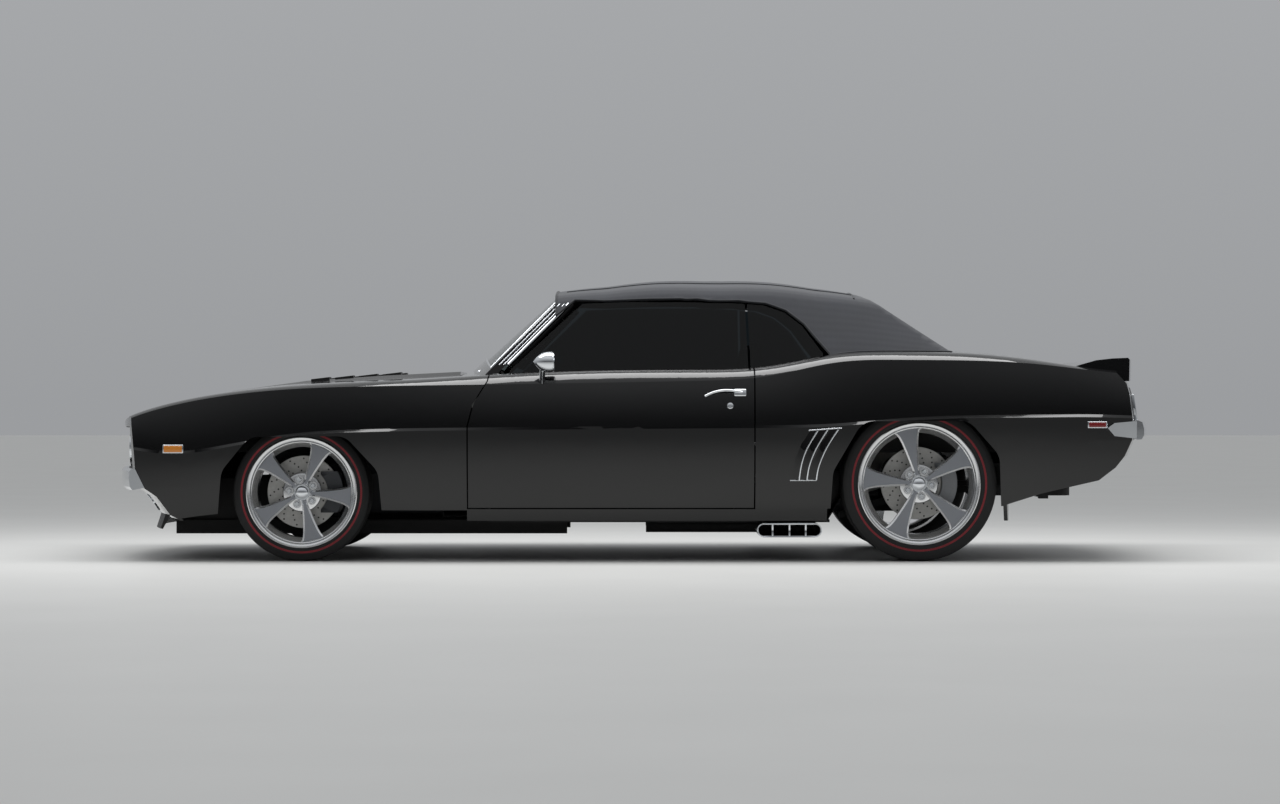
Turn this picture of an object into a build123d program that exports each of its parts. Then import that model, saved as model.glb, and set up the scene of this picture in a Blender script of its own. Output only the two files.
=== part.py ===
"""Two-door convertible muscle car, soft top raised.

Millimetres, +Z up, tyres standing on Z = 0. The nose points to -X, the
driver's side (left) is -Y. Body panels are cut from one lofted form, so
neighbours always line up across their shut lines.
"""
import os
from collections import namedtuple
from math import atan2, cos, degrees, radians, sin

from build123d import *

os.makedirs("parts", exist_ok=True)

# Stance
WHEELBASE = 2743
FRONT_AXLE_X = -1471
REAR_AXLE_X = FRONT_AXLE_X + WHEELBASE

# Wheels and tyres: one row for each axle
Axle = namedtuple("Axle", "x track_half tyre_r tyre_half tread_half flange_r barrel_r phase kingpin_in")
FRONT = Axle(FRONT_AXLE_X, 745, 305, 107, 88, 248, 212, -5, 60)
REAR = Axle(REAR_AXLE_X, 742, 344, 137, 116, 273, 236, 30, 0)
ROTOR_R = 162
STEER_LOCK = 30

# Body form: half-widths and heights along the car
Station = namedtuple("Station", "x sill_y side_y ledge_z ledge crease_y crease_z top_y top_z crown_z")
STATIONS = [
    Station(-2400, 800, 838, 472, 0, 814, 530, 744, 538, 552),
    Station(-2100, 842, 881, 485, 0, 858, 677, 790, 690, 706),
    Station(-1800, 858, 914, 512, 6, 884, 736, 812, 748, 764),
    Station(-1500, 866, 931, 562, 17, 896, 765, 820, 779, 797),
    Station(-1200, 868, 935, 580, 14, 902, 776, 826, 796, 814),
    Station(-900, 868, 935, 586, 7, 905, 781, 832, 811, 828),
    Station(-600, 868, 936, 589, 2, 907, 785, 837, 829, 848),
    Station(-300, 868, 937, 592, 0, 908, 790, 840, 842, 864),
    Station(0, 868, 938, 594, 0, 908, 795, 842, 848, 866),
    Station(300, 868, 938, 596, 0, 908, 801, 842, 850, 870),
    Station(600, 868, 939, 598, 1, 907, 822, 840, 865, 882),
    Station(900, 868, 940, 606, 8, 903, 882, 831, 919, 934),
    Station(1200, 866, 940, 630, 17, 899, 894, 823, 931, 948),
    Station(1500, 855, 934, 642, 17, 890, 891, 812, 924, 942),
    Station(1800, 837, 914, 645, 14, 872, 875, 792, 892, 911),
    Station(2100, 812, 885, 645, 10, 847, 841, 768, 851, 870),
    Station(2400, 778, 848, 645, 6, 814, 800, 737, 808, 824),
]
SILL_Z = 180
LEDGE_HEIGHT = 12
SKIN = 16
FLANGE = 10
SEAT_CLEARANCE = 0.3
SHUT_GAP = 6

# Plan curve of nose and tail: each is turned about a vertical axis
NOSE_X, NOSE_R = -2345, 3100
TAIL_X, TAIL_R = 2308, 4300
NOSE_AXIS = NOSE_X + NOSE_R
TAIL_AXIS = TAIL_X - TAIL_R
NOSE_PROFILE = [(-2345, 900), (-2345, 600), (-2332, 410), (-2290, 322), (-2240, 286), (-2180, 206), (-2140, 184), (-2140, 0)]
TAIL_PROFILE = [(2223, 900), (2233, 840), (2280, 789), (2293, 744), (2308, 631), (2306, 540), (2273, 467), (2233, 416), (2160, 359), (1917, 302), (1763, 252), (1763, 0)]

# Shut lines
HOOD_FRONT, HOOD_REAR = -2165, -775
HOOD_HALF_FRONT, HOOD_HALF_REAR = 640, 712
COWL_SIDE_X = -626
DOOR_REAR, DOOR_INNER, DOOR_BOTTOM = 538, 775, 238
DOOR_OUTLINE = [(-728, DOOR_BOTTOM), (-728, 600), (-702, 700), (-640, 800), (-620, 900), (DOOR_REAR, 900), (DOOR_REAR, DOOR_BOTTOM)]
DOOR_AXIS_X, DOOR_AXIS_Y = -640, 930
STRIKER_Y, STRIKER_Z, STRIKER_R, STRIKER_LENGTH = 850, 520, 8, 16
DECK_FRONT, DECK_HALF, DECK_LIP_Z = 1445, 640, 778
CABIN_FRONT, CABIN_REAR = -610, 1330
GRILLE_HALF, GRILLE_LOW, GRILLE_HIGH = 792, 408, 598
VALANCE_REAR, VALANCE_TOP = -1905, 330
REAR_VALANCE_FRONT, REAR_VALANCE_TOP = 2020, 538
TAIL_PANEL_HALF = 800
SIDE_WALL_REAR = 862

# Wheel openings, measured from each axle
FRONT_ARCH = [(-385, 60), (-350, 400), (-225, 552), (200, 556), (345, 400), (372, 60)]
REAR_ARCH = [(-405, 60), (-385, 400), (-255, 622), (215, 624), (352, 470), (372, 60)]
ARCH_ROUND = 90

# Hood dome and louvre banks
HOOD_DOME = [(-1850, 200, 745, 758), (-1500, 250, 786, 805), (-1150, 280, 806, 828), (-790, 300, 822, 846)]
LOUVRE_COUNT, LOUVRE_START, LOUVRE_PITCH, LOUVRE_Y, LOUVRE_Z, LOUVRE_RISE = 4, -1440, 110, 200, 809, 7.5
LOUVRE_LONG, LOUVRE_WIDE = 84, 118

# Spoilers, bumpers, lamps and grille, as outlines on the car's centre line
SPOILER = [(2015, 855), (2144, 893), (2215, 901), (2284, 904), (2291, 896), (2289, 800), (2262, 800), (2215, 835)]
SPOILER_HALF = 815
CHIN = [(-2176, 212), (-2200, 140), (-2190, 138), (-2158, 200)]
CHIN_HALF = 700
AIR_SLOT_HALF = 330
FRONT_BUMPER = [(-2331.5, 408), (-2346, 412), (-2356, 400), (-2358, 362), (-2354, 330), (-2344, 316), (-2292.6, 326)]
FRONT_BUMPER_HALF = 868
REAR_BUMPER = [(2308.4, 622), (2330, 626), (2350, 618), (2358, 590), (2358, 560), (2348, 542), (2330, 540), (2306.6, 546)]
REAR_BUMPER_HALF = 880
BUMPER_WING = 20
REAR_WING = [(2104, 592), (2135, 556), (2235, 545), (2300, 548), (2300, 620), (2225, 622), (2135, 614)]
TAIL_LAMP = [(2290, 612), (2315.6, 612), (2301.8, 738), (2276, 738)]
TAIL_LAMP_LOW, TAIL_LAMP_HIGH = 632, 735
TAIL_LAMP_CELLS = [(330, 452), (458, 580), (586, 708)]
GRILLE_X, GRILLE_DEPTH, GRILLE_POSTS, GRILLE_SPREAD = -2275, 30, 21, 30
GRILLE_BARS = [424, 466, 503, 540, 582]
GRILLE_STEP, GRILLE_POST, GRILLE_LEDGE, GRILLE_LIP_LOW, GRILLE_LIP_HIGH = 6, 7, 5, -2325, -2338
LAMP_X, LAMP_Y, LAMP_Z, LAMP_R, LAMP_BEZEL_R = -2250, 655, 503, 78, 88

# Windscreen, side glass and soft top
SCREEN_FOOT, SCREEN_RUN, SCREEN_RISE, SCREEN_BOW = (-640, 0, 835), 349, 318, 70
SCREEN_OUTER = (748, 596, -60, 470)
SCREEN_INNER = (708, 560, 26, 436)
GLASS, GLASS_FOOT = 6, 812
SIDE_GLASS = [(822, 800), (720, 991), (600, 1172)]
DOOR_GLASS = [(-560, GLASS_FOOT), (-545, 850), (-226, 1150), (0, 1158), (300, 1160), (505, 1152), (518, GLASS_FOOT)]
QUARTER_GLASS = [(528, GLASS_FOOT), (515, 1150), (590, 1142), (680, 1110), (758, 1050), (850, 925), (850, GLASS_FOOT)]
TOP_STATIONS = [(-350, 825, 596, 1150, 1218), (100, 828, 606, 1176, 1268), (550, 828, 606, 1172, 1270), (1000, 825, 596, 1140, 1212), (1450, 815, 570, 1050, 1080)]
TOP_BELT_Z, TOP_THICK, TOP_FRONT = 880, 12, -345
TOP_SLOPE = [(1030, 1200), (1425, 930)]
TOP_WINDOW = [(-640, 700), (-640, 838), (-262, 1168), (0, 1170), (243, 1173), (440, 1168), (600, 1152), (690, 1120), (770, 1060), (880, 925), (900, 700)]
BACKLIGHT_WIDE, BACKLIGHT_TALL, BACKLIGHT_UP = 1000, 300, 10

# Door fittings
MIRROR_X, MIRROR_Y, MIRROR_Z = -440, 905, 884
HANDLE_X, HANDLE_Y, HANDLE_Z, HANDLE_LONG = 412, 912, 748, 180

# Underbody
PLATE, FLOOR_TOP, SILL_INNER = 12, 182, 760
FIREWALL_X = -634
TUNNEL_HALF, TUNNEL_TOP = 150, 330
REAR_FLOOR = [(880, FLOOR_TOP), (1080, 500), (1440, 505), (1560, 430), (2170, 430)]
REAR_FLOOR_HALF = 560
RAIL_LOW, RAIL_HIGH, RAIL_Y, RAIL_WIDE, RAIL_FRONT, RAIL_REAR = 108, 170, 400, 60, -2080, -300
SUBFRAME_BARS = [(-2080, -2010, 430), (-1545, -1395, 430), (-420, -340, 430)]
LINER, LINER_LOW = 8, 480
FRONT_LINER_R, FRONT_LINER_Y, REAR_LINER_R, REAR_LINER_Y = 375, 470, 400, 590
RADIATOR_FRONT, RADIATOR_HALF, RADIATOR_TOP = -2068, 330, 610
ENGINE_FRONT, ENGINE_REAR, SHAFT_Z, SHAFT_END = -1640, -880, 235, 1144
MUFFLER_FRONT, MUFFLER_REAR, MUFFLER_IN, MUFFLER_OUT = 60, 640, 330, 560
TIP_X, TIP_Z, TIP_OUT, TIP_LONG, TIP_TALL, TIP_WALL, TIP_DEEP = 696, 138, 878, 288, 62, 6, 120
TIP_DIVIDERS = [-75, 0, 72]

# Wheel parts, measured outboard of each wheel's centre
HUB_BACK, SPOKE_THICK, SPOKE_ROOT, SPOKE_FLARE, LUG_CIRCLE = 30, 30, 12, 0.202, 57
SPINDLE_R, SPINDLE_END = 30, 26
ROTOR_OUT, ROTOR_IN = -8, -34
ROTOR = [(HUB_BACK, SPINDLE_R + SEAT_CLEARANCE), (HUB_BACK, 75), (ROTOR_OUT, 78), (ROTOR_OUT, ROTOR_R), (ROTOR_IN, ROTOR_R), (ROTOR_IN, SPINDLE_R + SEAT_CLEARANCE)]
STUD_R, STUD_REACH, ARM_SPREAD = 12, 150, 130
SPRING_Y, SPRING_FRONT, SPRING_REAR = 520, 935, 1880

# Cabin
DASH = [(FIREWALL_X, 560), (FIREWALL_X, 800), (-600, 806), (-430, 800), (-375, 745), (-395, 640), (-470, 560)]
DASH_HALF = 735
COLUMN_FOOT, COLUMN_AXIS, COLUMN_LONG, WHEEL_RIM_R = (-440, -370, 602), (0.9, 0, 0.436), 280, 185
SEAT_IN, SEAT_OUT = 170, 640
SEAT_CUSHION = [(-20, FLOOR_TOP), (-30, 330), (0, 400), (430, 360), (470, FLOOR_TOP)]
SEAT_BACK = [(400, 330), (520, 860), (590, 870), (560, 560), (500, 330)]
HEADREST = [(505, 840), (508, 968), (590, 972), (585, 840)]
BENCH_CUSHION = [(690, FLOOR_TOP), (680, 400), (720, 432), (1000, 398), (872, FLOOR_TOP)]
BENCH_BACK = [(935, 360), (1110, 830), (1180, 838), (1180, 512), (1076, 512), (990, 374)]
BENCH_HALF = 555


def plan_prism(outline, low, high):
    """Upright prism over a plan outline."""
    with BuildPart() as prism:
        with BuildSketch(Plane.XY.offset(low)):
            with BuildLine():
                Polyline(*outline, close=True)
            make_face()
        extrude(amount=high - low)
    return prism.part


def side_prism(outline, near, far, round_r=0):
    """Prism across the car between two Y values, over an outline in X and Z."""
    with BuildPart() as prism:
        with BuildSketch(Plane(origin=(0, far, 0), x_dir=(1, 0, 0), z_dir=(0, -1, 0))) as face:
            with BuildLine():
                Polyline(*outline, close=True)
            make_face()
            if round_r:
                fillet(face.vertices(), round_r)
        extrude(amount=far - near)
    return prism.part


def turned(outline, axis_x):
    """Ring turned about a vertical axis from an outline in X and Z."""
    with BuildPart() as ring:
        with BuildSketch(Plane.XZ):
            with BuildLine():
                Polyline(*outline, close=True)
            make_face()
        revolve(axis=Axis((axis_x, 0, 0), (0, 0, 1)))
    return ring.part


def section(station, inset):
    """Cross-section of the body at one station, inset for an inner form."""
    sill = (station.sill_y - inset, SILL_Z - (80 if inset else 0))
    low = (station.side_y - inset, station.ledge_z - LEDGE_HEIGHT / 2)
    high = (station.side_y - inset - station.ledge, station.ledge_z + LEDGE_HEIGHT / 2)
    crease = (station.crease_y - inset, station.crease_z - inset * 0.35)
    top = (station.top_y - inset * 0.7, station.top_z - inset)
    crown = (0, station.crown_z - inset)
    middle = ((crease[0] + top[0]) / 2 + 5, (crease[1] + top[1]) / 2 + 6)

    def across(point):
        return (-point[0], point[1])

    with BuildSketch(Plane(origin=(station.x, 0, 0), x_dir=(0, 1, 0), z_dir=(1, 0, 0))) as face:
        with BuildLine():
            Line(across(sill), sill)
            TangentArc(low, sill, tangent=(0, -1))
            Line(low, high)
            TangentArc(high, crease, tangent=(0, 1))
            ThreePointArc(crease, middle, top)
            ThreePointArc(top, crown, across(top))
            ThreePointArc(across(top), across(middle), across(crease))
            TangentArc(across(high), across(crease), tangent=(0, 1))
            Line(across(high), across(low))
            TangentArc(across(low), across(sill), tangent=(0, -1))
        make_face()
    return face.sketch


def body_form(inset):
    """Whole body as one solid, trimmed at nose and tail."""
    nose = [(x + inset, z) for x, z in NOSE_PROFILE] + [(-2900, 0), (-2900, 900)]
    tail = [(x - inset, z) for x, z in TAIL_PROFILE] + [(2900, 0), (2900, 900)]
    with BuildPart() as form:
        loft([section(station, inset) for station in STATIONS])
        add(turned(nose, NOSE_AXIS), mode=Mode.SUBTRACT)
        add(turned(tail, TAIL_AXIS), mode=Mode.SUBTRACT)
    return form.part


def hood_half(x):
    """Half-width of the hood opening at one place along the car."""
    return HOOD_HALF_FRONT + (x - HOOD_FRONT) * (HOOD_HALF_REAR - HOOD_HALF_FRONT) / (HOOD_REAR - HOOD_FRONT)


def block(x0, x1, y0, y1, z0, z1):
    """Plain block between two corners."""
    with BuildPart() as solid:
        with Locations(((x0 + x1) / 2, (y0 + y1) / 2, (z0 + z1) / 2)):
            Box(x1 - x0, y1 - y0, z1 - z0)
    return solid.part


def keep(*parts):
    """Common volume of the given solids."""
    with BuildPart() as solid:
        add(parts[0])
        for other in parts[1:]:
            add(other, mode=Mode.INTERSECT)
    return solid.part


def without(base, *parts):
    """One solid less the others."""
    with BuildPart() as solid:
        add(base)
        for other in parts:
            add(other, mode=Mode.SUBTRACT)
    return solid.part


def finish(part, name):
    """Label one node and write its file."""
    part.label = name
    export_step(part, f"parts/{name}.step")
    solids = part.solids()
    print(name, len(solids), all(s.is_valid for s in solids), flush=True)


def pair(left, name):
    """Left node and its mirror image on the right."""
    with BuildPart() as right:
        mirror(left, about=Plane.XZ)
    finish(left, f"{name}_left")
    finish(right.part, f"{name}_right")


def both(left, name):
    """Left solid and its mirror image as one node."""
    with BuildPart() as two:
        add(left)
        mirror(left, about=Plane.XZ)
    finish(two.part, name)


# Body forms: outer surface, inside of the skin, seat for what lies against it, back of the lid flanges
OUTER = body_form(0)
INNER = body_form(SKIN)
BODY_SKIN = without(OUTER, INNER)
INNER_SEAT = body_form(SKIN + SEAT_CLEARANCE)
FLANGE_FORM = body_form(SKIN + FLANGE)
THICK_SKIN = without(OUTER, FLANGE_FORM)
SEAT_LAYER = without(INNER_SEAT, FLANGE_FORM)

# Regions that divide the body
LEFT_HALF = block(-2500, 2500, -1100, 0, 0, 1100)
ahead_of_hood = [(HOOD_FRONT - SHUT_GAP, 0), (HOOD_FRONT - SHUT_GAP, 1000), (-2900, 1000), (-2900, 0)]
NOSE_REGION = turned(ahead_of_hood, NOSE_AXIS)
HOOD_GAP_REGION = turned([(x + SHUT_GAP, z) for x, z in ahead_of_hood[:2]] + ahead_of_hood[2:], NOSE_AXIS)
edge = SHUT_GAP / 2
BETWEEN_FENDERS = plan_prism(
    [(-2450, -hood_half(-2450) - edge), (COWL_SIDE_X, -hood_half(COWL_SIDE_X) - edge),
     (COWL_SIDE_X, hood_half(COWL_SIDE_X) + edge), (-2450, hood_half(-2450) + edge)], 100, 1000)
GRILLE_OPENING = block(-2500, -2050, -GRILLE_HALF, GRILLE_HALF, GRILLE_LOW, GRILLE_HIGH)
VALANCE_REGION = block(-2500, VALANCE_REAR, -1000, 1000, 0, VALANCE_TOP)
BUMPER_WALL = block(-2500, -2050, -GRILLE_HALF, GRILLE_HALF, VALANCE_TOP, GRILLE_LOW)

# Front fender with its wheel opening
fender_back = [(x - SHUT_GAP, z) for x, z in DOOR_OUTLINE[:5]]
fender_side = [(-2450, 100), (fender_back[0][0], 100)] + fender_back + [(fender_back[-1][0], 1000), (-2450, 1000)]
fender = without(
    keep(BODY_SKIN, side_prism(fender_side, -1100, -400)),
    BETWEEN_FENDERS, VALANCE_REGION, GRILLE_OPENING, BUMPER_WALL,
    side_prism([(FRONT.x + x, z) for x, z in FRONT_ARCH], -1100, 0, ARCH_ROUND))
pair(fender, "fender")

# Nose header with a seat for the front edge of the hood
header = keep(THICK_SKIN, NOSE_REGION, BETWEEN_FENDERS, block(-2500, -1900, -900, 900, GRILLE_HIGH, 1000))
hood_seat = without(
    keep(SEAT_LAYER, turned([(HOOD_FRONT + 40, 0), (HOOD_FRONT + 40, 1000), (-2900, 1000), (-2900, 0)], NOSE_AXIS),
         block(-2500, -1900, -580, 580, GRILLE_HIGH, 1000)), NOSE_REGION)
with BuildPart() as nose_header:
    add(header)
    add(hood_seat)
finish(nose_header.part, "nose_header")

# Hood with a raised centre
hood_outline = [(-2450, -hood_half(-2450) + edge), (HOOD_REAR, -HOOD_HALF_REAR + edge),
                (HOOD_REAR, HOOD_HALF_REAR - edge), (-2450, hood_half(-2450) - edge)]
with BuildPart() as hood:
    add(without(keep(BODY_SKIN, plan_prism(hood_outline, 500, 1000)), NOSE_REGION,
                turned([(HOOD_FRONT, 0), (HOOD_FRONT, 1000), (-2900, 1000), (-2900, 0)], NOSE_AXIS)))
    for x, half, low, high in HOOD_DOME:
        with BuildSketch(Plane(origin=(x, 0, 0), x_dir=(0, 1, 0), z_dir=(1, 0, 0))):
            with BuildLine():
                Polyline((-half - 60, low), (half + 60, low), (half, high), (-half, high), close=True)
            make_face()
    loft(ruled=True)
finish(hood.part, "hood")

# Louvre banks on the hood
with BuildPart() as louvres:
    for row in range(LOUVRE_COUNT):
        x = LOUVRE_START + row * LOUVRE_PITCH
        z, half = LOUVRE_Z + row * LOUVRE_RISE, LOUVRE_LONG / 2
        add(side_prism([(x - half, z - 12), (x - half, z + 3), (x + half, z + 13), (x + half, z - 12)],
                       -LOUVRE_Y - LOUVRE_WIDE / 2, -LOUVRE_Y + LOUVRE_WIDE / 2))
bank = without(louvres.part, hood.part)
both(bank, "hood_louvres")

# Cowl and firewall
cowl_skin = keep(BODY_SKIN, BETWEEN_FENDERS, block(HOOD_REAR + SHUT_GAP, CABIN_FRONT, -900, 900, 600, 1000))
firewall = keep(OUTER, BETWEEN_FENDERS, block(FIREWALL_X - 14, FIREWALL_X, -900, 900, FLOOR_TOP, 1000))
with BuildPart() as cowl:
    add(cowl_skin)
    add(firewall)
    add(block(FIREWALL_X - 30, FIREWALL_X + 10, -TUNNEL_HALF, TUNNEL_HALF, 0, TUNNEL_TOP), mode=Mode.SUBTRACT)
finish(cowl.part, "cowl")

# Doors, cut at the back round the hinge line so that they swing clear
with BuildPart() as door_reach:
    with Locations((DOOR_AXIS_X, -DOOR_AXIS_Y, 600)):
        Cylinder(DOOR_REAR - DOOR_AXIS_X, 1000)
striker_slot = block(DOOR_REAR - 22, DOOR_REAR + 10, -STRIKER_Y - STRIKER_R - SEAT_CLEARANCE, -DOOR_INNER + 10,
                     STRIKER_Z - STRIKER_R - SEAT_CLEARANCE, STRIKER_Z + STRIKER_R + SEAT_CLEARANCE)


def glass_band(inset, thickness, x0, x1):
    """Curved side glass between two places along the car."""
    with BuildPart() as band:
        with BuildSketch(Plane(origin=(x0, 0, 0), x_dir=(0, 1, 0), z_dir=(1, 0, 0))):
            with BuildLine():
                low, mid, high = [(-y + inset, z) for y, z in SIDE_GLASS]
                back = [(y + thickness, z) for y, z in (high, mid, low)]
                ThreePointArc(low, mid, high)
                Line(high, back[0])
                ThreePointArc(*back)
                Line(back[2], low)
            make_face()
        extrude(amount=x1 - x0)
    return band.part


glass_slot = keep(glass_band(-2, GLASS + 4, -700, 545), block(-700, 545, -1000, 0, GLASS_FOOT, 1300))
door = without(keep(OUTER, side_prism(DOOR_OUTLINE, -1100, -DOOR_INNER), door_reach.part), striker_slot, glass_slot)
pair(door, "door")
door_glass = keep(glass_band(0, GLASS, -700, 545), side_prism(DOOR_GLASS, -1000, 0))
pair(door_glass, "door_glass")
quarter_glass = keep(glass_band(0, GLASS, 500, 1000), side_prism(QUARTER_GLASS, -1000, 0))

# Sills
sill = keep(OUTER, block(fender_back[0][0], DOOR_REAR + SHUT_GAP, -1100, -SILL_INNER, 100, DOOR_BOTTOM - SHUT_GAP))
both(sill, "sills")

# Quarter panel, with the side wall beside the rear bench and the spoiler end
spoiler_ring = without(turned(SPOILER, TAIL_AXIS), OUTER)
quarter_plan = [(DOOR_REAR + SHUT_GAP, -1100), (DOOR_REAR + SHUT_GAP, -DOOR_INNER), (DECK_FRONT - SHUT_GAP, -DOOR_INNER),
                (DECK_FRONT - SHUT_GAP, -DECK_HALF - SHUT_GAP), (2500, -DECK_HALF - SHUT_GAP), (2500, -1100)]
TAIL_PANEL_REGION = block(2100, 2500, -TAIL_PANEL_HALF, TAIL_PANEL_HALF, REAR_VALANCE_TOP, DECK_LIP_Z - SHUT_GAP)
REAR_VALANCE_REGION = block(REAR_VALANCE_FRONT, 2500, -1000, 1000, 0, REAR_VALANCE_TOP)
with BuildPart() as quarter:
    add(without(keep(BODY_SKIN, plan_prism(quarter_plan, 100, 1000)), TAIL_PANEL_REGION, REAR_VALANCE_REGION))
    add(keep(OUTER, block(DOOR_REAR + SHUT_GAP, SIDE_WALL_REAR, -1100, -DOOR_INNER, 100, 1000)))
    add(side_prism([(REAR.x + x, z) for x, z in REAR_ARCH], -1100, 0, ARCH_ROUND), mode=Mode.SUBTRACT)
    add(keep(glass_band(-2, GLASS + 4, 500, 900), block(500, SIDE_WALL_REAR - 8, -1000, 0, GLASS_FOOT, 1300)), mode=Mode.SUBTRACT)
    add(block(1200, REAR_VALANCE_FRONT, -820, 0, 100, 400), mode=Mode.SUBTRACT)
    add(keep(spoiler_ring, block(1800, 2500, -SPOILER_HALF, -DECK_HALF - SHUT_GAP, 700, 1000)))
    with Locations(Plane(origin=(DOOR_REAR + SHUT_GAP, -STRIKER_Y, STRIKER_Z), z_dir=(-1, 0, 0))):
        Cylinder(STRIKER_R, STRIKER_LENGTH, align=(Align.CENTER, Align.CENTER, Align.MIN))
pair(quarter.part, "quarter")

# Rear deck panel with a seat for the front edge of the deck lid
with BuildPart() as rear_deck:
    add(keep(THICK_SKIN, block(CABIN_REAR, DECK_FRONT - SHUT_GAP, -DOOR_INNER, DOOR_INNER, 700, 1000)))
    add(keep(SEAT_LAYER, block(DECK_FRONT - SHUT_GAP, DECK_FRONT + 35, -600, 600, 700, 1000)))
finish(rear_deck.part, "rear_deck")

with BuildPart() as deck_lid:
    add(keep(BODY_SKIN, block(DECK_FRONT, 2500, -DECK_HALF, DECK_HALF, DECK_LIP_Z, 1000)))
    add(keep(spoiler_ring, block(1800, 2500, -DECK_HALF, DECK_HALF, 700, 1000)))
finish(deck_lid.part, "deck_lid")

# Tail panel and lamps
lamp_ring = turned(TAIL_LAMP, TAIL_AXIS)
lamp_boxes = [block(2200, 2400, y0, y1, TAIL_LAMP_LOW, TAIL_LAMP_HIGH) for y0, y1 in TAIL_LAMP_CELLS]
tail_panel = without(keep(BODY_SKIN, TAIL_PANEL_REGION), *lamp_boxes, *[mirror(cell, about=Plane.XZ) for cell in lamp_boxes])
finish(tail_panel, "tail_panel")
with BuildPart() as tail_lamps:
    for cell in lamp_boxes:
        add(keep(lamp_ring, cell))
    mirror(about=Plane.XZ)
finish(tail_lamps.part, "tail_lamps")

rear_valance = keep(BODY_SKIN, REAR_VALANCE_REGION)
finish(rear_valance, "rear_valance")

# Front valance with its air slot, chin spoiler
with BuildPart() as valance:
    add(keep(BODY_SKIN, VALANCE_REGION))
    add(keep(BODY_SKIN, BUMPER_WALL))
    add(block(-2500, -2100, -AIR_SLOT_HALF, AIR_SLOT_HALF, 214, 284), mode=Mode.SUBTRACT)
    add(side_prism([(FRONT.x + x, z) for x, z in FRONT_ARCH], -1100, 1100, ARCH_ROUND), mode=Mode.SUBTRACT)
finish(valance.part, "front_valance")
chin = keep(turned(CHIN, NOSE_AXIS), block(-2500, -1800, -CHIN_HALF, CHIN_HALF, 0, 400))
finish(without(chin, OUTER), "chin_spoiler")

# Bumpers
finish(keep(turned(FRONT_BUMPER, NOSE_AXIS), block(-2500, -1800, -FRONT_BUMPER_HALF, FRONT_BUMPER_HALF, 0, 900)), "front_bumper")
wing_layer = without(body_form(-BUMPER_WING), OUTER)
with BuildPart() as rear_bumper:
    add(keep(turned(REAR_BUMPER, TAIL_AXIS), block(1800, 2500, -REAR_BUMPER_HALF, REAR_BUMPER_HALF, 0, 900)))
    for near, far in ((-1000, -700), (700, 1000)):
        add(keep(wing_layer, side_prism(REAR_WING, near, far)))
finish(rear_bumper.part, "rear_bumper")

# Grille: bars on the curve of the nose, ledges that meet the skin above and below, pierced for the lamps
grille_back = GRILLE_X + GRILLE_DEPTH
with BuildPart() as bars:
    for z in GRILLE_BARS:
        add(turned([(GRILLE_X, z - 4), (grille_back, z - 4), (grille_back, z + 4), (GRILLE_X, z + 4)], NOSE_AXIS))
    for z, lip in ((GRILLE_LOW, GRILLE_LIP_LOW), (GRILLE_HIGH - GRILLE_LEDGE, GRILLE_LIP_HIGH)):
        add(turned([(lip, z), (grille_back, z), (grille_back, z + GRILLE_LEDGE), (lip, z + GRILLE_LEDGE)], NOSE_AXIS))
    with Locations((NOSE_AXIS, 0, (GRILLE_LOW + GRILLE_HIGH) / 2)):
        with PolarLocations(NOSE_AXIS - GRILLE_X - GRILLE_DEPTH / 2, GRILLE_POSTS, 180 - GRILLE_SPREAD / 2, GRILLE_SPREAD, endpoint=True):
            Box(GRILLE_DEPTH - GRILLE_STEP, GRILLE_POST, GRILLE_HIGH - GRILLE_LOW)
    add(block(-2500, -1900, -GRILLE_HALF, GRILLE_HALF, GRILLE_LOW, GRILLE_HIGH), mode=Mode.INTERSECT)
    for side in (-1, 1):
        with Locations(Plane(origin=(-2400, side * LAMP_Y, LAMP_Z), z_dir=(1, 0, 0))):
            Cylinder(LAMP_BEZEL_R + SEAT_CLEARANCE, 500, align=(Align.CENTER, Align.CENTER, Align.MIN), mode=Mode.SUBTRACT)
finish(bars.part, "grille")

with BuildPart() as lamp:
    with BuildSketch(Plane(origin=(0, -LAMP_Y, LAMP_Z), x_dir=(1, 0, 0), z_dir=(0, -1, 0))):
        with BuildLine():
            Polyline((LAMP_X + 90, 0), (LAMP_X + 90, LAMP_BEZEL_R), (LAMP_X, LAMP_BEZEL_R), (LAMP_X, LAMP_R), (LAMP_X + 14, LAMP_R - 4))
            TangentArc((LAMP_X - 4, 0), (LAMP_X + 14, LAMP_R - 4), tangent=(0, 1))
            Line((LAMP_X - 4, 0), (LAMP_X + 90, 0))
        make_face()
    revolve(axis=Axis((0, -LAMP_Y, LAMP_Z), (1, 0, 0)))
both(lamp.part, "headlamps")

# Windscreen and its frame, bent round one upright cylinder and raked
RAKE = Plane(origin=SCREEN_FOOT, x_dir=(0, 1, 0), z_dir=(SCREEN_RUN, 0, SCREEN_RISE))
FACE = Plane(origin=SCREEN_FOOT, x_dir=(0, -1, 0), z_dir=(-SCREEN_RISE, 0, SCREEN_RUN))


def screen_band(out, back):
    """Bent sheet along the rake, between two distances from the glass line."""
    with BuildPart() as band:
        with BuildSketch(RAKE.offset(-200)):
            with BuildLine():
                ThreePointArc((-900, out - SCREEN_BOW * 0.56), (0, out + SCREEN_BOW), (900, out - SCREEN_BOW * 0.56))
                Line((900, out - SCREEN_BOW * 0.56), (900, back - SCREEN_BOW * 0.56))
                ThreePointArc((900, back - SCREEN_BOW * 0.56), (0, back + SCREEN_BOW), (-900, back - SCREEN_BOW * 0.56))
                Line((-900, back - SCREEN_BOW * 0.56), (-900, out - SCREEN_BOW * 0.56))
            make_face()
        extrude(amount=820)
    return band.part


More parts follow.
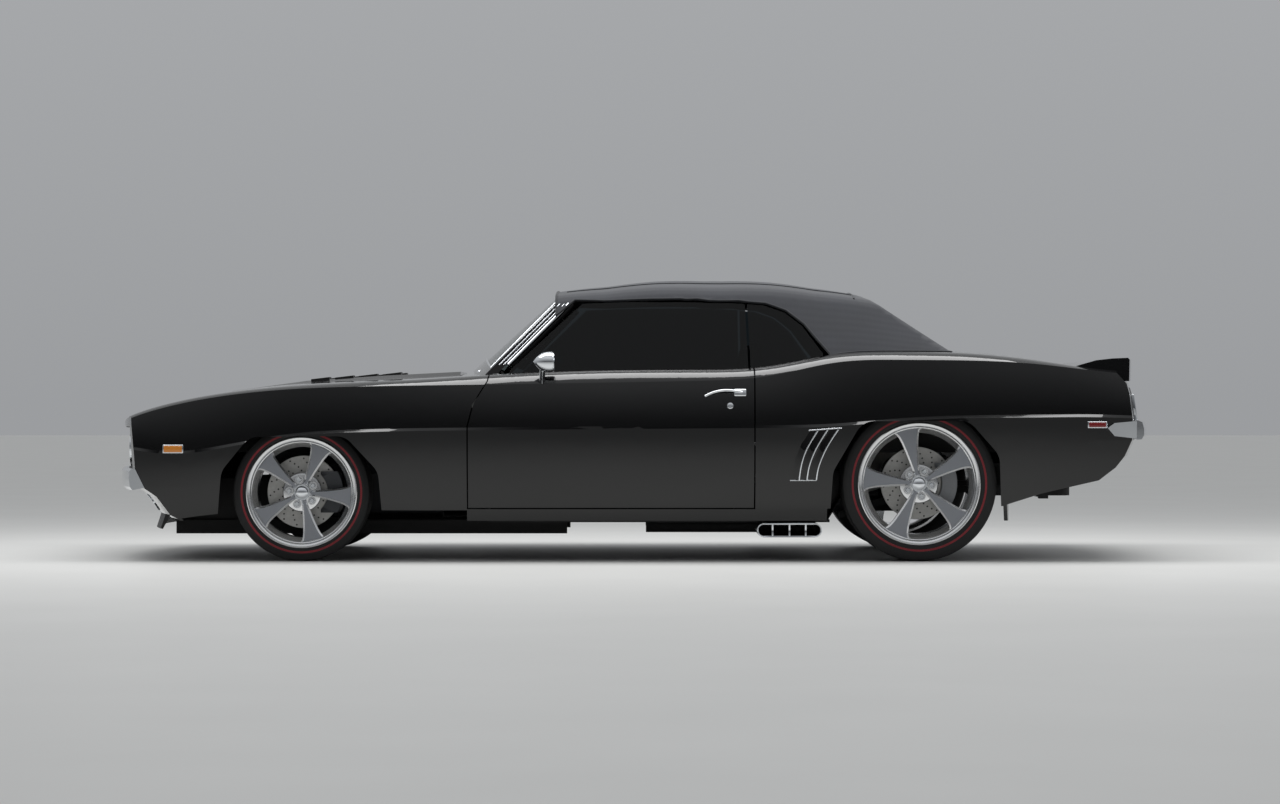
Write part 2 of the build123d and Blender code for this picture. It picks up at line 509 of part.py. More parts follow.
def screen_outline(low_half, high_half, low, high):
    """Prism through the screen over a tapered outline on its face."""
    with BuildPart() as outline:
        with BuildSketch(FACE) as face:
            with BuildLine():
                Polyline((-low_half, low), (low_half, low), (high_half, high), (-high_half, high), close=True)
            make_face()
        extrude(amount=400, both=True)
    return outline.part


def top_form(inset):
    """Soft top as one solid down past the belt line."""
    with BuildPart() as form:
        for x, belt_y, rail_y, rail_z, crown_z in TOP_STATIONS:
            with BuildSketch(Plane(origin=(x, 0, 0), x_dir=(0, 1, 0), z_dir=(1, 0, 0))):
                with BuildLine():
                    belt, rail, crown = (belt_y - inset, TOP_BELT_Z), (rail_y - inset, rail_z - inset * 0.4), (0, crown_z - inset)
                    shoulder = (rail_y * 0.82, rail_z + (crown_z - rail_z) * 0.62 - inset)
                    Line((-belt[0], belt[1]), belt)
                    Line(belt, rail)
                    ThreePointArc(rail, ((rail[0] + shoulder[0]) / 2 + 13, (rail[1] + shoulder[1]) / 2 + 8), shoulder)
                    ThreePointArc(shoulder, crown, (-shoulder[0], shoulder[1]))
                    ThreePointArc((-shoulder[0], shoulder[1]), (-(rail[0] + shoulder[0]) / 2 - 13, (rail[1] + shoulder[1]) / 2 + 8), (-rail[0], rail[1]))
                    Line((-rail[0], rail[1]), (-belt[0], belt[1]))
                make_face()
        loft()
        cut = [(x - inset * 0.6, z - inset * 0.8) for x, z in TOP_SLOPE]
        add(side_prism(cut + [(1700, 700), (1700, 1500), (cut[0][0], 1500)], -1000, 1000), mode=Mode.SUBTRACT)
    return form.part


top_skin = without(top_form(0), top_form(TOP_THICK), OUTER, side_prism(TOP_WINDOW, -1100, 1100),
                   block(-600, TOP_FRONT, -1000, 1000, 600, 1500))
screen_inner = screen_outline(*SCREEN_INNER)
screen_frame = without(keep(screen_band(12, -24), screen_outline(*SCREEN_OUTER)), screen_inner, OUTER, top_skin)
finish(screen_frame, "screen_frame")
finish(without(keep(screen_band(3, -3), screen_inner), OUTER), "windscreen")

slope_angle = degrees(atan2(TOP_SLOPE[0][1] - TOP_SLOPE[1][1], TOP_SLOPE[1][0] - TOP_SLOPE[0][0]))
BACKLIGHT = Plane(origin=((TOP_SLOPE[0][0] + TOP_SLOPE[1][0]) / 2, 0, (TOP_SLOPE[0][1] + TOP_SLOPE[1][1]) / 2),
                  x_dir=(0, 1, 0), z_dir=(sin(radians(slope_angle)), 0, cos(radians(slope_angle))))
with BuildPart() as backlight:
    with BuildSketch(BACKLIGHT.offset(-TOP_THICK)):
        with Locations((0, BACKLIGHT_UP)):
            RectangleRounded(BACKLIGHT_WIDE, BACKLIGHT_TALL, 60)
    extrude(amount=60, both=True)
with BuildPart() as rear_window:
    with BuildSketch(BACKLIGHT.offset(-TOP_THICK * 0.7)):
        with Locations((0, BACKLIGHT_UP)):
            RectangleRounded(BACKLIGHT_WIDE, BACKLIGHT_TALL, 60)
    extrude(amount=4)
finish(without(top_skin, backlight.part), "soft_top")
finish(rear_window.part, "rear_window")
both(quarter_glass, "quarter_glass")

# Mirror and handle on each door
with BuildPart() as mirror_head:
    with BuildSketch(Plane(origin=(0, -MIRROR_Y, MIRROR_Z), x_dir=(1, 0, 0), z_dir=(0, -1, 0))):
        with BuildLine():
            Line((MIRROR_X + 90, 0), (MIRROR_X + 90, 44))
            ThreePointArc((MIRROR_X + 90, 44), (MIRROR_X + 30, 34), (MIRROR_X, 0))
            Line((MIRROR_X, 0), (MIRROR_X + 90, 0))
        make_face()
    revolve(axis=Axis((0, -MIRROR_Y, MIRROR_Z), (1, 0, 0)))
    with Locations((MIRROR_X + 40, -MIRROR_Y + 10, 780)):
        Cylinder(13, MIRROR_Z - 790, align=(Align.CENTER, Align.CENTER, Align.MIN))
with BuildPart() as handle:
    with Locations((HANDLE_X, -HANDLE_Y, HANDLE_Z)):
        Box(HANDLE_LONG, 60, 30)
    fillet(handle.edges().filter_by(Axis.Y), 12)
with BuildPart() as fittings:
    add(without(mirror_head.part, OUTER))
    add(without(handle.part, OUTER))
pair(fittings.part, "door_fittings")

# Floor: front pan with a tunnel, rear floor over the axle to the boot
with BuildPart() as floor_pan:
    add(block(FIREWALL_X - 14, REAR_FLOOR[0][0], -SILL_INNER, SILL_INNER, FLOOR_TOP - PLATE, FLOOR_TOP))
    add(block(FIREWALL_X - 14, REAR_FLOOR[0][0], -TUNNEL_HALF, TUNNEL_HALF, FLOOR_TOP - PLATE, TUNNEL_TOP))
    add(block(FIREWALL_X - 30, REAR_FLOOR[0][0] + 10, -TUNNEL_HALF + PLATE, TUNNEL_HALF - PLATE, 0, TUNNEL_TOP - PLATE), mode=Mode.SUBTRACT)
finish(floor_pan.part, "floor_pan")
rear_under = [(x, z - PLATE) for x, z in reversed(REAR_FLOOR)]
rear_floor = side_prism(REAR_FLOOR + rear_under, -REAR_FLOOR_HALF, REAR_FLOOR_HALF)
shaft_way = block(FIREWALL_X, 1010, -TUNNEL_HALF, TUNNEL_HALF, 0, TUNNEL_TOP)
finish(without(rear_floor, shaft_way), "rear_floor")



def wheelhouse(axle, reach, inner_y):
    """Liner over the left tyre, from the car's inside out to the skin."""
    with BuildPart() as house:
        for wall_y, radius, mode in ((inner_y, reach + LINER, Mode.ADD), (inner_y + LINER, reach, Mode.SUBTRACT)):
            with BuildSketch(Plane(origin=(axle.x, -wall_y, axle.tyre_r), x_dir=(1, 0, 0), z_dir=(0, -1, 0))):
                Circle(radius)
            extrude(amount=500, mode=mode)
        add(block(axle.x - 500, axle.x + 500, -1100, 0, LINER_LOW, 900), mode=Mode.INTERSECT)
        add(INNER_SEAT, mode=Mode.INTERSECT)
    return house.part


with BuildPart() as wheelhouses:
    add(wheelhouse(FRONT, FRONT_LINER_R, FRONT_LINER_Y))
    add(wheelhouse(REAR, REAR_LINER_R, REAR_LINER_Y))
both(wheelhouses.part, "wheelhouses")

# Front subframe, radiator, engine, propeller shaft, tank, exhaust
with BuildPart() as subframe:
    with BuildSketch(Plane.XY.offset(RAIL_LOW)) as ladder:
        for x0, x1, half in SUBFRAME_BARS:
            with Locations(((x0 + x1) / 2, 0)):
                Rectangle(x1 - x0, 2 * half)
        with Locations(((RAIL_FRONT + RAIL_REAR) / 2, -RAIL_Y), ((RAIL_FRONT + RAIL_REAR) / 2, RAIL_Y)):
            Rectangle(RAIL_REAR - RAIL_FRONT, RAIL_WIDE)
    extrude(amount=RAIL_HIGH - RAIL_LOW)
finish(subframe.part, "subframe")
radiator_core = block(RADIATOR_FRONT - 10, RADIATOR_FRONT + 12, -RADIATOR_HALF + 40, RADIATOR_HALF - 40, RAIL_HIGH + 40, RADIATOR_TOP - 50)
finish(without(block(RADIATOR_FRONT, RADIATOR_FRONT + 46, -RADIATOR_HALF, RADIATOR_HALF, RAIL_HIGH, RADIATOR_TOP), radiator_core), "radiator")
with BuildPart() as engine:
    add(block(ENGINE_FRONT, ENGINE_REAR, -160, 160, RAIL_HIGH, 430))
    add(block(ENGINE_FRONT, ENGINE_REAR - 40, -270, 270, 400, 640))
    add(block(ENGINE_FRONT + 120, ENGINE_REAR - 160, -150, 150, 600, 730))
    chamfer(engine.edges().filter_by(Axis.X), 24)
    with Locations(Plane(origin=(ENGINE_REAR - 10, 0, SHAFT_Z), z_dir=(1, 0, 0))):
        Cylinder(62, 560, align=(Align.CENTER, Align.CENTER, Align.MIN))
        Cylinder(38, SHAFT_END - ENGINE_REAR + 10, align=(Align.CENTER, Align.CENTER, Align.MIN))
finish(engine.part, "engine")
with BuildPart() as tank:
    add(block(1610, 2000, -400, 400, 280, REAR_FLOOR[-1][1] - PLATE))
    fillet(tank.edges().filter_by(Axis.Z), 60)
finish(tank.part, "fuel_tank")
with BuildPart() as exhaust:
    add(block(MUFFLER_FRONT, MUFFLER_REAR, -MUFFLER_OUT, -MUFFLER_IN, 118, FLOOR_TOP - PLATE))
    fillet(exhaust.edges().filter_by(Axis.X), 18)
    with BuildSketch(Plane(origin=(TIP_X, -TIP_OUT, TIP_Z), x_dir=(1, 0, 0), z_dir=(0, -1, 0))):
        SlotOverall(TIP_LONG, TIP_TALL)
    extrude(amount=-(TIP_OUT - MUFFLER_OUT + 30))
    with BuildSketch(Plane(origin=(TIP_X, -TIP_OUT, TIP_Z), x_dir=(1, 0, 0), z_dir=(0, -1, 0))):
        SlotOverall(TIP_LONG - 2 * TIP_WALL, TIP_TALL - 2 * TIP_WALL)
        with Locations(*[(x, 0) for x in TIP_DIVIDERS]):
            Rectangle(7, TIP_TALL, mode=Mode.SUBTRACT)
    extrude(amount=-TIP_DEEP, mode=Mode.SUBTRACT)
both(exhaust.part, "exhaust")


# Wheels
def wheel_plane(axle, out):
    """Plane of the left wheel's face at one distance outboard of its centre."""
    return Plane(origin=(axle.x, -axle.track_half - out, axle.tyre_r), x_dir=(1, 0, 0), z_dir=(0, -1, 0))


def wheel_turned(axle, outline):
    """Ring turned about the left wheel's axle from (outboard, radius) points."""
    with BuildPart() as ring:
        with BuildSketch(Plane(origin=(axle.x, -axle.track_half, axle.tyre_r), x_dir=(0, -1, 0), z_dir=(-1, 0, 0))):
            with BuildLine():
                Polyline(*outline, close=True)
            make_face()
        revolve(axis=Axis((axle.x, 0, axle.tyre_r), (0, 1, 0)))
    return ring.part


def spoke_edge(radius, angle, turn):
    """Point on one edge of the spoke that lies at an angle."""
    half = SPOKE_ROOT + (radius - 50) * SPOKE_FLARE
    return (radius * cos(radians(angle)) + turn * half * sin(radians(angle)),
            radius * sin(radians(angle)) - turn * half * cos(radians(angle)))


def make_wheel(axle):
    """Left wheel: drop-centre rim, five flared spokes, hub and rotor."""
    rim_half, flange, barrel = axle.tyre_half - 5, axle.flange_r, axle.barrel_r
    rim = [(rim_half, flange), (rim_half - 8, flange), (rim_half - 10, flange - 18), (rim_half - 47, flange - 20),
           (rim_half - 62, barrel), (-rim_half + 62, barrel), (-rim_half + 47, flange - 20), (-rim_half + 10, flange - 18),
           (-rim_half + 8, flange), (-rim_half, flange), (-rim_half, flange - 10), (-rim_half + 12, flange - 26), (-rim_half + 42, flange - 33),
           (-rim_half + 62, barrel - 10), (rim_half - 62, barrel - 10), (rim_half - 42, flange - 33), (rim_half - 12, flange - 26), (rim_half, flange - 10)]
    face, web = rim_half - 22, flange - 24
    with BuildPart() as wheel:
        add(wheel_turned(axle, rim))
        add(wheel_turned(axle, [(HUB_BACK, 0), (face + 4, 0), (face + 4, 74), (face, 86), (face, web), (face - SPOKE_THICK, web), (face - SPOKE_THICK, 92), (HUB_BACK, 86)]))
        with BuildSketch(wheel_plane(axle, face + 20)) as windows:
            for spoke in range(5):
                left, right = axle.phase + 72 * spoke, axle.phase + 72 * (spoke + 1)
                outer, inner = flange - 40, 92
                middle = radians((left + right) / 2)
                with BuildLine():
                    Line(spoke_edge(inner, left, -1), spoke_edge(outer, left, -1))
                    ThreePointArc(spoke_edge(outer, left, -1), ((outer + 6) * cos(middle), (outer + 6) * sin(middle)), spoke_edge(outer, right, 1))
                    Line(spoke_edge(outer, right, 1), spoke_edge(inner, right, 1))
                    ThreePointArc(spoke_edge(inner, right, 1), ((inner - 4) * cos(middle), (inner - 4) * sin(middle)), spoke_edge(inner, left, -1))
                make_face()
            fillet(windows.vertices(), 13)
        extrude(amount=-90, mode=Mode.SUBTRACT)
        with Locations(wheel_plane(axle, face)):
            with PolarLocations(LUG_CIRCLE, 5, axle.phase + 36):
                Cylinder(11, 26)
            Sphere(26)
        add(wheel_turned(axle, ROTOR))
    return wheel.part


def make_tyre(axle):
    """Left tyre: flat tread, rounded shoulders, standing on the rim flanges."""
    half, tread, top, foot = axle.tyre_half, axle.tread_half, axle.tyre_r, axle.flange_r + SEAT_CLEARANCE
    with BuildPart() as tyre:
        with BuildSketch(Plane(origin=(axle.x, -axle.track_half, axle.tyre_r), x_dir=(0, -1, 0), z_dir=(-1, 0, 0))):
            with BuildLine():
                bulge = foot + (top - foot) * 0.42
                Line((-half + 7, foot), (half - 7, foot))
                ThreePointArc((half - 7, foot), (half, bulge), (half - 6, top - 20))
                ThreePointArc((half - 6, top - 20), (half - 11, top - 7), (tread, top))
                Line((tread, top), (-tread, top))
                ThreePointArc((-tread, top), (-half + 11, top - 7), (-half + 6, top - 20))
                ThreePointArc((-half + 6, top - 20), (-half, bulge), (-half + 7, foot))
            make_face()
        revolve(axis=Axis((axle.x, 0, axle.tyre_r), (0, 1, 0)))
    return tyre.part


for axle, place in ((FRONT, "front"), (REAR, "rear")):
    pair(make_wheel(axle), f"wheel_{place}")
    pair(make_tyre(axle), f"tyre_{place}")


def caliper(axle):
    """Brake caliper behind the left axle end."""
    with BuildPart() as solid:
        add(wheel_turned(axle, [(ROTOR_OUT + 6, 108), (ROTOR_OUT + 26, 112), (ROTOR_OUT + 26, 178), (ROTOR_IN - 30, 184), (ROTOR_IN - 30, 104),
                                (ROTOR_IN - 6, 104), (ROTOR_IN - 6, ROTOR_R + 6), (ROTOR_OUT + 6, ROTOR_R + 6)]))
        add(block(axle.x + 78, axle.x + 220, -axle.track_half - 60, -axle.track_half + 120, axle.tyre_r - 92, axle.tyre_r + 92), mode=Mode.INTERSECT)
    return solid.part


# Steered knuckles on ball studs, control arms
kingpin_y = -FRONT.track_half + FRONT.kingpin_in
with BuildPart() as knuckle:
    with Locations(wheel_plane(FRONT, SPINDLE_END)):
        Cylinder(SPINDLE_R, SPINDLE_END + FRONT.kingpin_in, align=(Align.CENTER, Align.CENTER, Align.MAX))
    with Locations((FRONT.x, kingpin_y, FRONT.tyre_r)):
        Box(64, 40, 2 * STUD_REACH - 60)
    with Locations((FRONT.x + 70, kingpin_y, FRONT.tyre_r)):
        Box(110, 40, 120)
    with Locations((FRONT.x, kingpin_y, FRONT.tyre_r)):
        Cylinder(STUD_R, 2 * STUD_REACH)
    add(caliper(FRONT))
pair(knuckle.part, "knuckle")
with BuildPart() as arm:
    for low, thick in ((FRONT.tyre_r - STUD_REACH + 2, 26), (FRONT.tyre_r + STUD_REACH - 28, 26)):
        with BuildSketch(Plane.XY.offset(low)):
            with BuildLine():
                Polyline((FRONT.x - 16, kingpin_y), (FRONT.x + 16, kingpin_y), (FRONT.x + 34, kingpin_y + 70), (FRONT.x + ARM_SPREAD, -RAIL_Y - RAIL_WIDE / 2),
                         (FRONT.x - ARM_SPREAD, -RAIL_Y - RAIL_WIDE / 2), (FRONT.x - 34, kingpin_y + 70), close=True)
            make_face()
            with Locations((FRONT.x, kingpin_y)):
                Circle(STUD_R + 7)
        extrude(amount=thick)
    add(block(FRONT.x - ARM_SPREAD, FRONT.x + ARM_SPREAD, -RAIL_Y - RAIL_WIDE / 2, -RAIL_Y - RAIL_WIDE / 2 + 40, RAIL_HIGH, FRONT.tyre_r + STUD_REACH - 2))
    with Locations((FRONT.x, kingpin_y, FRONT.tyre_r)):
        Cylinder(STUD_R + SEAT_CLEARANCE, 2 * STUD_REACH + 60, mode=Mode.SUBTRACT)
both(arm.part, "control_arms")

# Rear axle with leaf springs and calipers
with BuildPart() as axle_half:
    with Locations(wheel_plane(REAR, SPINDLE_END)):
        Cylinder(SPINDLE_R, SPINDLE_END + 60, align=(Align.CENTER, Align.CENTER, Align.MAX))
    with Locations(wheel_plane(REAR, -58)):
        Cylinder(46, REAR.track_half - 58, align=(Align.CENTER, Align.CENTER, Align.MAX))
    with Locations(wheel_plane(REAR, -REAR.track_half + 110)):
        Cylinder(120, 110, align=(Align.CENTER, Align.CENTER, Align.MAX))
    add(caliper(REAR))
    with Locations((REAR.x + 70, -REAR.track_half + 70, REAR.tyre_r)):
        Box(130, 30, 120)
    with Locations(Plane(origin=(SHAFT_END + SEAT_CLEARANCE, 0, SHAFT_Z + 15), z_dir=(1, 0, 0))):
        Cylinder(52, REAR.x - SHAFT_END - 20, align=(Align.CENTER, Align.CENTER, Align.MIN))
    add(block(SPRING_REAR - 40, SPRING_REAR, -SPRING_Y - 32, -SPRING_Y + 32, 270, REAR_FLOOR[-1][1] - PLATE))
    with BuildSketch(Plane(origin=(0, -SPRING_Y - 32, 0), x_dir=(1, 0, 0), z_dir=(0, -1, 0))):
        with BuildLine():
            ThreePointArc((SPRING_FRONT, 210), (REAR.x, REAR.tyre_r - 40), (SPRING_REAR, 300))
            Line((SPRING_REAR, 300), (SPRING_REAR, 270))
            ThreePointArc((SPRING_REAR, 270), (REAR.x, REAR.tyre_r - 70), (SPRING_FRONT, 180))
            Line((SPRING_FRONT, 180), (SPRING_FRONT, 210))
        make_face()
    extrude(amount=-64)
    mirror(about=Plane.XZ)
finish(axle_half.part, "rear_axle")

# Cabin: dashboard, steering wheel, seats
COLUMN = Plane(origin=COLUMN_FOOT, x_dir=(0, 1, 0), z_dir=COLUMN_AXIS)
with BuildPart() as dashboard:
    add(side_prism(DASH, -DASH_HALF, DASH_HALF))
    with Locations(COLUMN):
        Cylinder(32, COLUMN_LONG - 18 - SEAT_CLEARANCE, align=(Align.CENTER, Align.CENTER, Align.MIN))
finish(dashboard.part, "dashboard")
with BuildPart() as steering_wheel:
    with Locations(COLUMN.offset(COLUMN_LONG)):
        Torus(WHEEL_RIM_R, 14)
        Box(12, 2 * WHEEL_RIM_R, 10)
        Cylinder(45, 36)
finish(steering_wheel.part, "steering_wheel")
with BuildPart() as bucket:
    add(side_prism(SEAT_CUSHION, -SEAT_OUT, -SEAT_IN, 28))
    add(side_prism(SEAT_BACK, -SEAT_OUT, -SEAT_IN, 28))
    add(side_prism(HEADREST, -(SEAT_OUT + SEAT_IN) / 2 - 130, -(SEAT_OUT + SEAT_IN) / 2 + 130, 28))
both(bucket.part, "front_seats")
with BuildPart() as bench:
    add(side_prism(BENCH_CUSHION, -BENCH_HALF, BENCH_HALF, 28))
    add(side_prism(BENCH_BACK, -BENCH_HALF, BENCH_HALF, 16))
    add(block(600, 1010, -TUNNEL_HALF - 1, TUNNEL_HALF + 1, 0, TUNNEL_TOP + 1), mode=Mode.SUBTRACT)
finish(bench.part, "rear_seat")
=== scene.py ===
"""Looks for a black two-door convertible muscle car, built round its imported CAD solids."""
import math
from collections import Counter

import bmesh
import bpy
from mathutils import Matrix, Vector
from mathutils.bvhtree import BVHTree


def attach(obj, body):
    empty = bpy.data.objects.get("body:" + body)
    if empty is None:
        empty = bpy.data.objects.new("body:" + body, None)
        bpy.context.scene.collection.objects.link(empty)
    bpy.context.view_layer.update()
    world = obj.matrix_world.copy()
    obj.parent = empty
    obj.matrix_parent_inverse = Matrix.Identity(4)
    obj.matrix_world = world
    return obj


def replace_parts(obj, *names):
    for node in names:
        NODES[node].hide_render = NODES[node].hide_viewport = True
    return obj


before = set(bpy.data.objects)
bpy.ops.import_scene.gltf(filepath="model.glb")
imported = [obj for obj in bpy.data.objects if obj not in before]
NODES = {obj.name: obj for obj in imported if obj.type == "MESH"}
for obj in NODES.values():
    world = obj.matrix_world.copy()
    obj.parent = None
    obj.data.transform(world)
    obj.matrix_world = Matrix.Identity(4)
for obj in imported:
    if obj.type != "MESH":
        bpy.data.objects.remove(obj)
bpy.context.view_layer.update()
MM = 0.001
WAVE_BANDS = 20
SIDES = {"left": -1, "right": 1}


# Small helpers for materials
def linear(hex_colour):
    """sRGB hex to linear colour."""
    parts = [int(hex_colour[i:i + 2], 16) / 255 for i in (1, 3, 5)]
    return tuple(c / 12.92 if c <= 0.04045 else ((c + 0.055) / 1.055) ** 2.4 for c in parts) + (1.0,)


def add_node(tree, kind, inputs=None, **settings):
    """Add one shader node, set its fields, and set or link its inputs."""
    node = tree.nodes.new(kind)
    for key, value in settings.items():
        setattr(node, key, value)
    for key, value in (inputs or {}).items():
        if isinstance(value, bpy.types.NodeSocket):
            tree.links.new(value, node.inputs[key])
        else:
            node.inputs[key].default_value = value
    return node


def new_material(name, colour, roughness, metallic=0.0, **sockets):
    """Material with one Principled shader; returns the material, its tree and the shader."""
    material = bpy.data.materials.new(name)
    material.use_nodes = True
    tree = material.node_tree
    shader = tree.nodes["Principled BSDF"]
    shader.inputs["Base Color"].default_value = linear(colour)
    shader.inputs["Roughness"].default_value = roughness
    shader.inputs["Metallic"].default_value = metallic
    for key, value in sockets.items():
        shader.inputs[key.replace("_", " ")].default_value = value
    return material, tree, shader


def object_coords(tree):
    """Coordinates in the piece's own frame."""
    return add_node(tree, "ShaderNodeTexCoord").outputs["Object"]


def per_metre(size_mm):
    """Noise scale whose features are about one size across."""
    return 1 / (size_mm * MM)


def wave(tree, coords, pitch_mm, direction, **inputs):
    """Even bands across one axis, one pitch apart."""
    scale = per_metre(pitch_mm) / WAVE_BANDS
    return add_node(tree, "ShaderNodeTexWave", {"Vector": coords, "Scale": scale, **inputs},
                    bands_direction=direction)


def mottled(tree, shader, size_mm, low, high, roughness=None):
    """Vary the colour, and if asked the roughness, with soft noise of one feature size."""
    noise = add_node(tree, "ShaderNodeTexNoise",
                     {"Vector": object_coords(tree), "Scale": per_metre(size_mm), "Detail": 4.0})
    mix = add_node(tree, "ShaderNodeMix",
                   {"Factor": noise.outputs["Fac"], "A": linear(low), "B": linear(high)}, data_type="RGBA")
    tree.links.new(mix.outputs["Result"], shader.inputs["Base Color"])
    if roughness:
        spread = add_node(tree, "ShaderNodeMapRange",
                          {"Value": noise.outputs["Fac"], "To Min": roughness[0], "To Max": roughness[1]})
        tree.links.new(spread.outputs["Result"], shader.inputs["Roughness"])
    return noise


def bumped(tree, shader, height, strength, depth_mm):
    """Raise the surface by a pattern's height."""
    bump = add_node(tree, "ShaderNodeBump",
                    {"Height": height, "Strength": strength, "Distance": depth_mm * MM})
    tree.links.new(bump.outputs["Normal"], shader.inputs["Normal"])


def ribbed(tree, shader, pitch_mm, direction, strength, depth_mm):
    """Moulded ribs along one axis."""
    rib = wave(tree, object_coords(tree), pitch_mm, direction)
    bumped(tree, shader, rib.outputs["Fac"], strength, depth_mm)


# Gloss enamel: near black under a clear coat, with the faint ripple of sprayed paint
BLACK_PAINT, tree, shader = new_material(
    "gloss_black_enamel", "#040405", 0.3, Coat_Weight=1.0, Coat_Roughness=0.02, Coat_IOR=1.52,
    Specular_IOR_Level=0.05)
mottled(tree, shader, 110, "#030304", "#050506")
peel = add_node(tree, "ShaderNodeTexNoise",
                {"Vector": object_coords(tree), "Scale": per_metre(6), "Detail": 1.0})
bumped(tree, shader, peel.outputs["Fac"], 0.01, 2)

# Plated chrome: bright, a little smeared by polishing
CHROME, tree, shader = new_material("chrome_plate", "#dfe2e6", 0.06, 1.0)
mottled(tree, shader, 70, "#d6d9dd", "#e6e9ec", (0.03, 0.09))

# Polished aluminium: a softer mirror with faint turning marks
POLISHED, tree, shader = new_material("polished_aluminium", "#e2e3e4", 0.16, 0.9)
mottled(tree, shader, 45, "#dcddde", "#e9eaeb", (0.1, 0.2))

# Satin alloy: bead-blasted and clear-coated spoke faces
SATIN, tree, shader = new_material("satin_alloy", "#8d9096", 0.42, 0.5)
grit = mottled(tree, shader, 2.4, "#868990", "#979a9f", (0.36, 0.48))
bumped(tree, shader, grit.outputs["Fac"], 0.06, 0.6)

# Ground cast-iron brake disc: pale, with swept grinding marks
DISC, tree, shader = new_material("ground_iron_disc", "#b4b3b0", 0.4, 0.55)
mottled(tree, shader, 14, "#a6a5a2", "#c2c1be", (0.32, 0.48))

# Cast brake calipers: dark painted in front, bare alloy behind
DARK_CALIPER, tree, shader = new_material("painted_caliper", "#3c3e41", 0.45, 0.4)
grain = mottled(tree, shader, 3.3, "#35373a", "#46484b")
bumped(tree, shader, grain.outputs["Fac"], 0.2, 0.8)
BARE_CALIPER, tree, shader = new_material("bare_alloy_caliper", "#8b8d90", 0.5, 0.6)
grain = mottled(tree, shader, 3.3, "#7f8184", "#96989b")
bumped(tree, shader, grain.outputs["Fac"], 0.25, 0.8)

# Tyre rubber: matte, a little dusty
RUBBER, tree, shader = new_material("tyre_rubber", "#131314", 0.72)
dust = mottled(tree, shader, 28, "#0f0f10", "#19191a", (0.62, 0.82))
bumped(tree, shader, dust.outputs["Fac"], 0.1, 1)

# Moulded red line in the side wall
RED_LINE, tree, shader = new_material("red_line_rubber", "#7a1620", 0.6)
mottled(tree, shader, 16, "#6b121b", "#8c1c26")

# Woven canvas of the top: crossed threads, drawn at 4 mm instead of 1 mm so that they show
CANVAS, tree, shader = new_material("woven_canvas", "#1b1d24", 0.92, Sheen_Weight=0.25, Sheen_Roughness=0.5)
THREAD_MM = 4
coords = object_coords(tree)
warp = wave(tree, coords, THREAD_MM, "X", Distortion=0.5)
weft = wave(tree, coords, THREAD_MM, "Y", Distortion=0.5)
cloth = add_node(tree, "ShaderNodeMath", {0: warp.outputs["Fac"], 1: weft.outputs["Fac"]}, operation="ADD")
patch = add_node(tree, "ShaderNodeTexNoise", {"Vector": coords, "Scale": per_metre(180), "Detail": 6.0})
tone = add_node(tree, "ShaderNodeMix",
                {"Factor": patch.outputs["Fac"], "A": linear("#14161c"), "B": linear("#20232b")},
                data_type="RGBA")
tree.links.new(tone.outputs["Result"], shader.inputs["Base Color"])
bumped(tree, shader, cloth.outputs["Value"], 0.3, 0.8)

# Sewn binding of the same cloth, a shade darker
BINDING, tree, shader = new_material("canvas_binding", "#101218", 0.9, Sheen_Weight=0.15)
thread = mottled(tree, shader, 1.6, "#0c0e13", "#171a20")
bumped(tree, shader, thread.outputs["Fac"], 0.4, 0.8)

# Grained black leather
LEATHER, tree, shader = new_material("grained_leather", "#151516", 0.5)
mottled(tree, shader, 80, "#111112", "#1a1a1b", (0.42, 0.58))
pores = add_node(tree, "ShaderNodeTexVoronoi", {"Vector": object_coords(tree), "Scale": per_metre(3)})
bumped(tree, shader, pores.outputs["Distance"], 0.25, 0.8)

# Moulded satin-black plastic and rubber trim
TRIM, tree, shader = new_material("moulded_black_trim", "#101011", 0.48)
speck = mottled(tree, shader, 2, "#0d0d0e", "#141415")
bumped(tree, shader, speck.outputs["Fac"], 0.12, 0.5)

# Black underseal on floor and frame
UNDERSEAL, tree, shader = new_material("black_underseal", "#0d0d0e", 0.66)
lumps = mottled(tree, shader, 11, "#0a0a0b", "#141416")
bumped(tree, shader, lumps.outputs["Fac"], 0.4, 2)

# Painted cast-iron engine
IRON, tree, shader = new_material("painted_iron", "#2c2e31", 0.5, 0.3)
cast = mottled(tree, shader, 8, "#25272a", "#35373b")
bumped(tree, shader, cast.outputs["Fac"], 0.4, 1)

# Radiator core: black fins
FINS, tree, shader = new_material("radiator_fins", "#17181a", 0.5, 0.4)
ribbed(tree, shader, 7, "Z", 0.8, 3)

# Safety glass, thin and grey-green: dark tint at sides and back, pale in the windscreen
THIN_GLASS = dict(Transmission_Weight=1.0, IOR=1.1, Coat_Weight=0.35)
GLASS, tree, shader = new_material("tinted_glass", "#232a2e", 0.0, **THIN_GLASS)
mottled(tree, shader, 300, "#22292d", "#262e32")
SCREEN_GLASS, tree, shader = new_material("screen_glass", "#7d8988", 0.0, **THIN_GLASS)
mottled(tree, shader, 300, "#7a8685", "#808c8b")

# Moulded lamp lenses: clear with flutes, red and amber with ribs
LENS, tree, shader = new_material("clear_lens", "#e6eaee", 0.05, Transmission_Weight=0.4, IOR=1.45)
ribbed(tree, shader, 12, "Y", 0.5, 2)
RED_LENS, tree, shader = new_material("red_ribbed_lens", "#7c0d0f", 0.12, Coat_Weight=0.8)
ribbed(tree, shader, 9, "Z", 0.5, 2)
AMBER, tree, shader = new_material("amber_ribbed_lens", "#d8862e", 0.12, Coat_Weight=0.8)
ribbed(tree, shader, 8, "X", 0.4, 1)

# Silvered mirror glass
MIRROR, tree, shader = new_material("silvered_glass", "#e8ecef", 0.02, 1.0)
mottled(tree, shader, 120, "#e2e6ea", "#eef1f3")


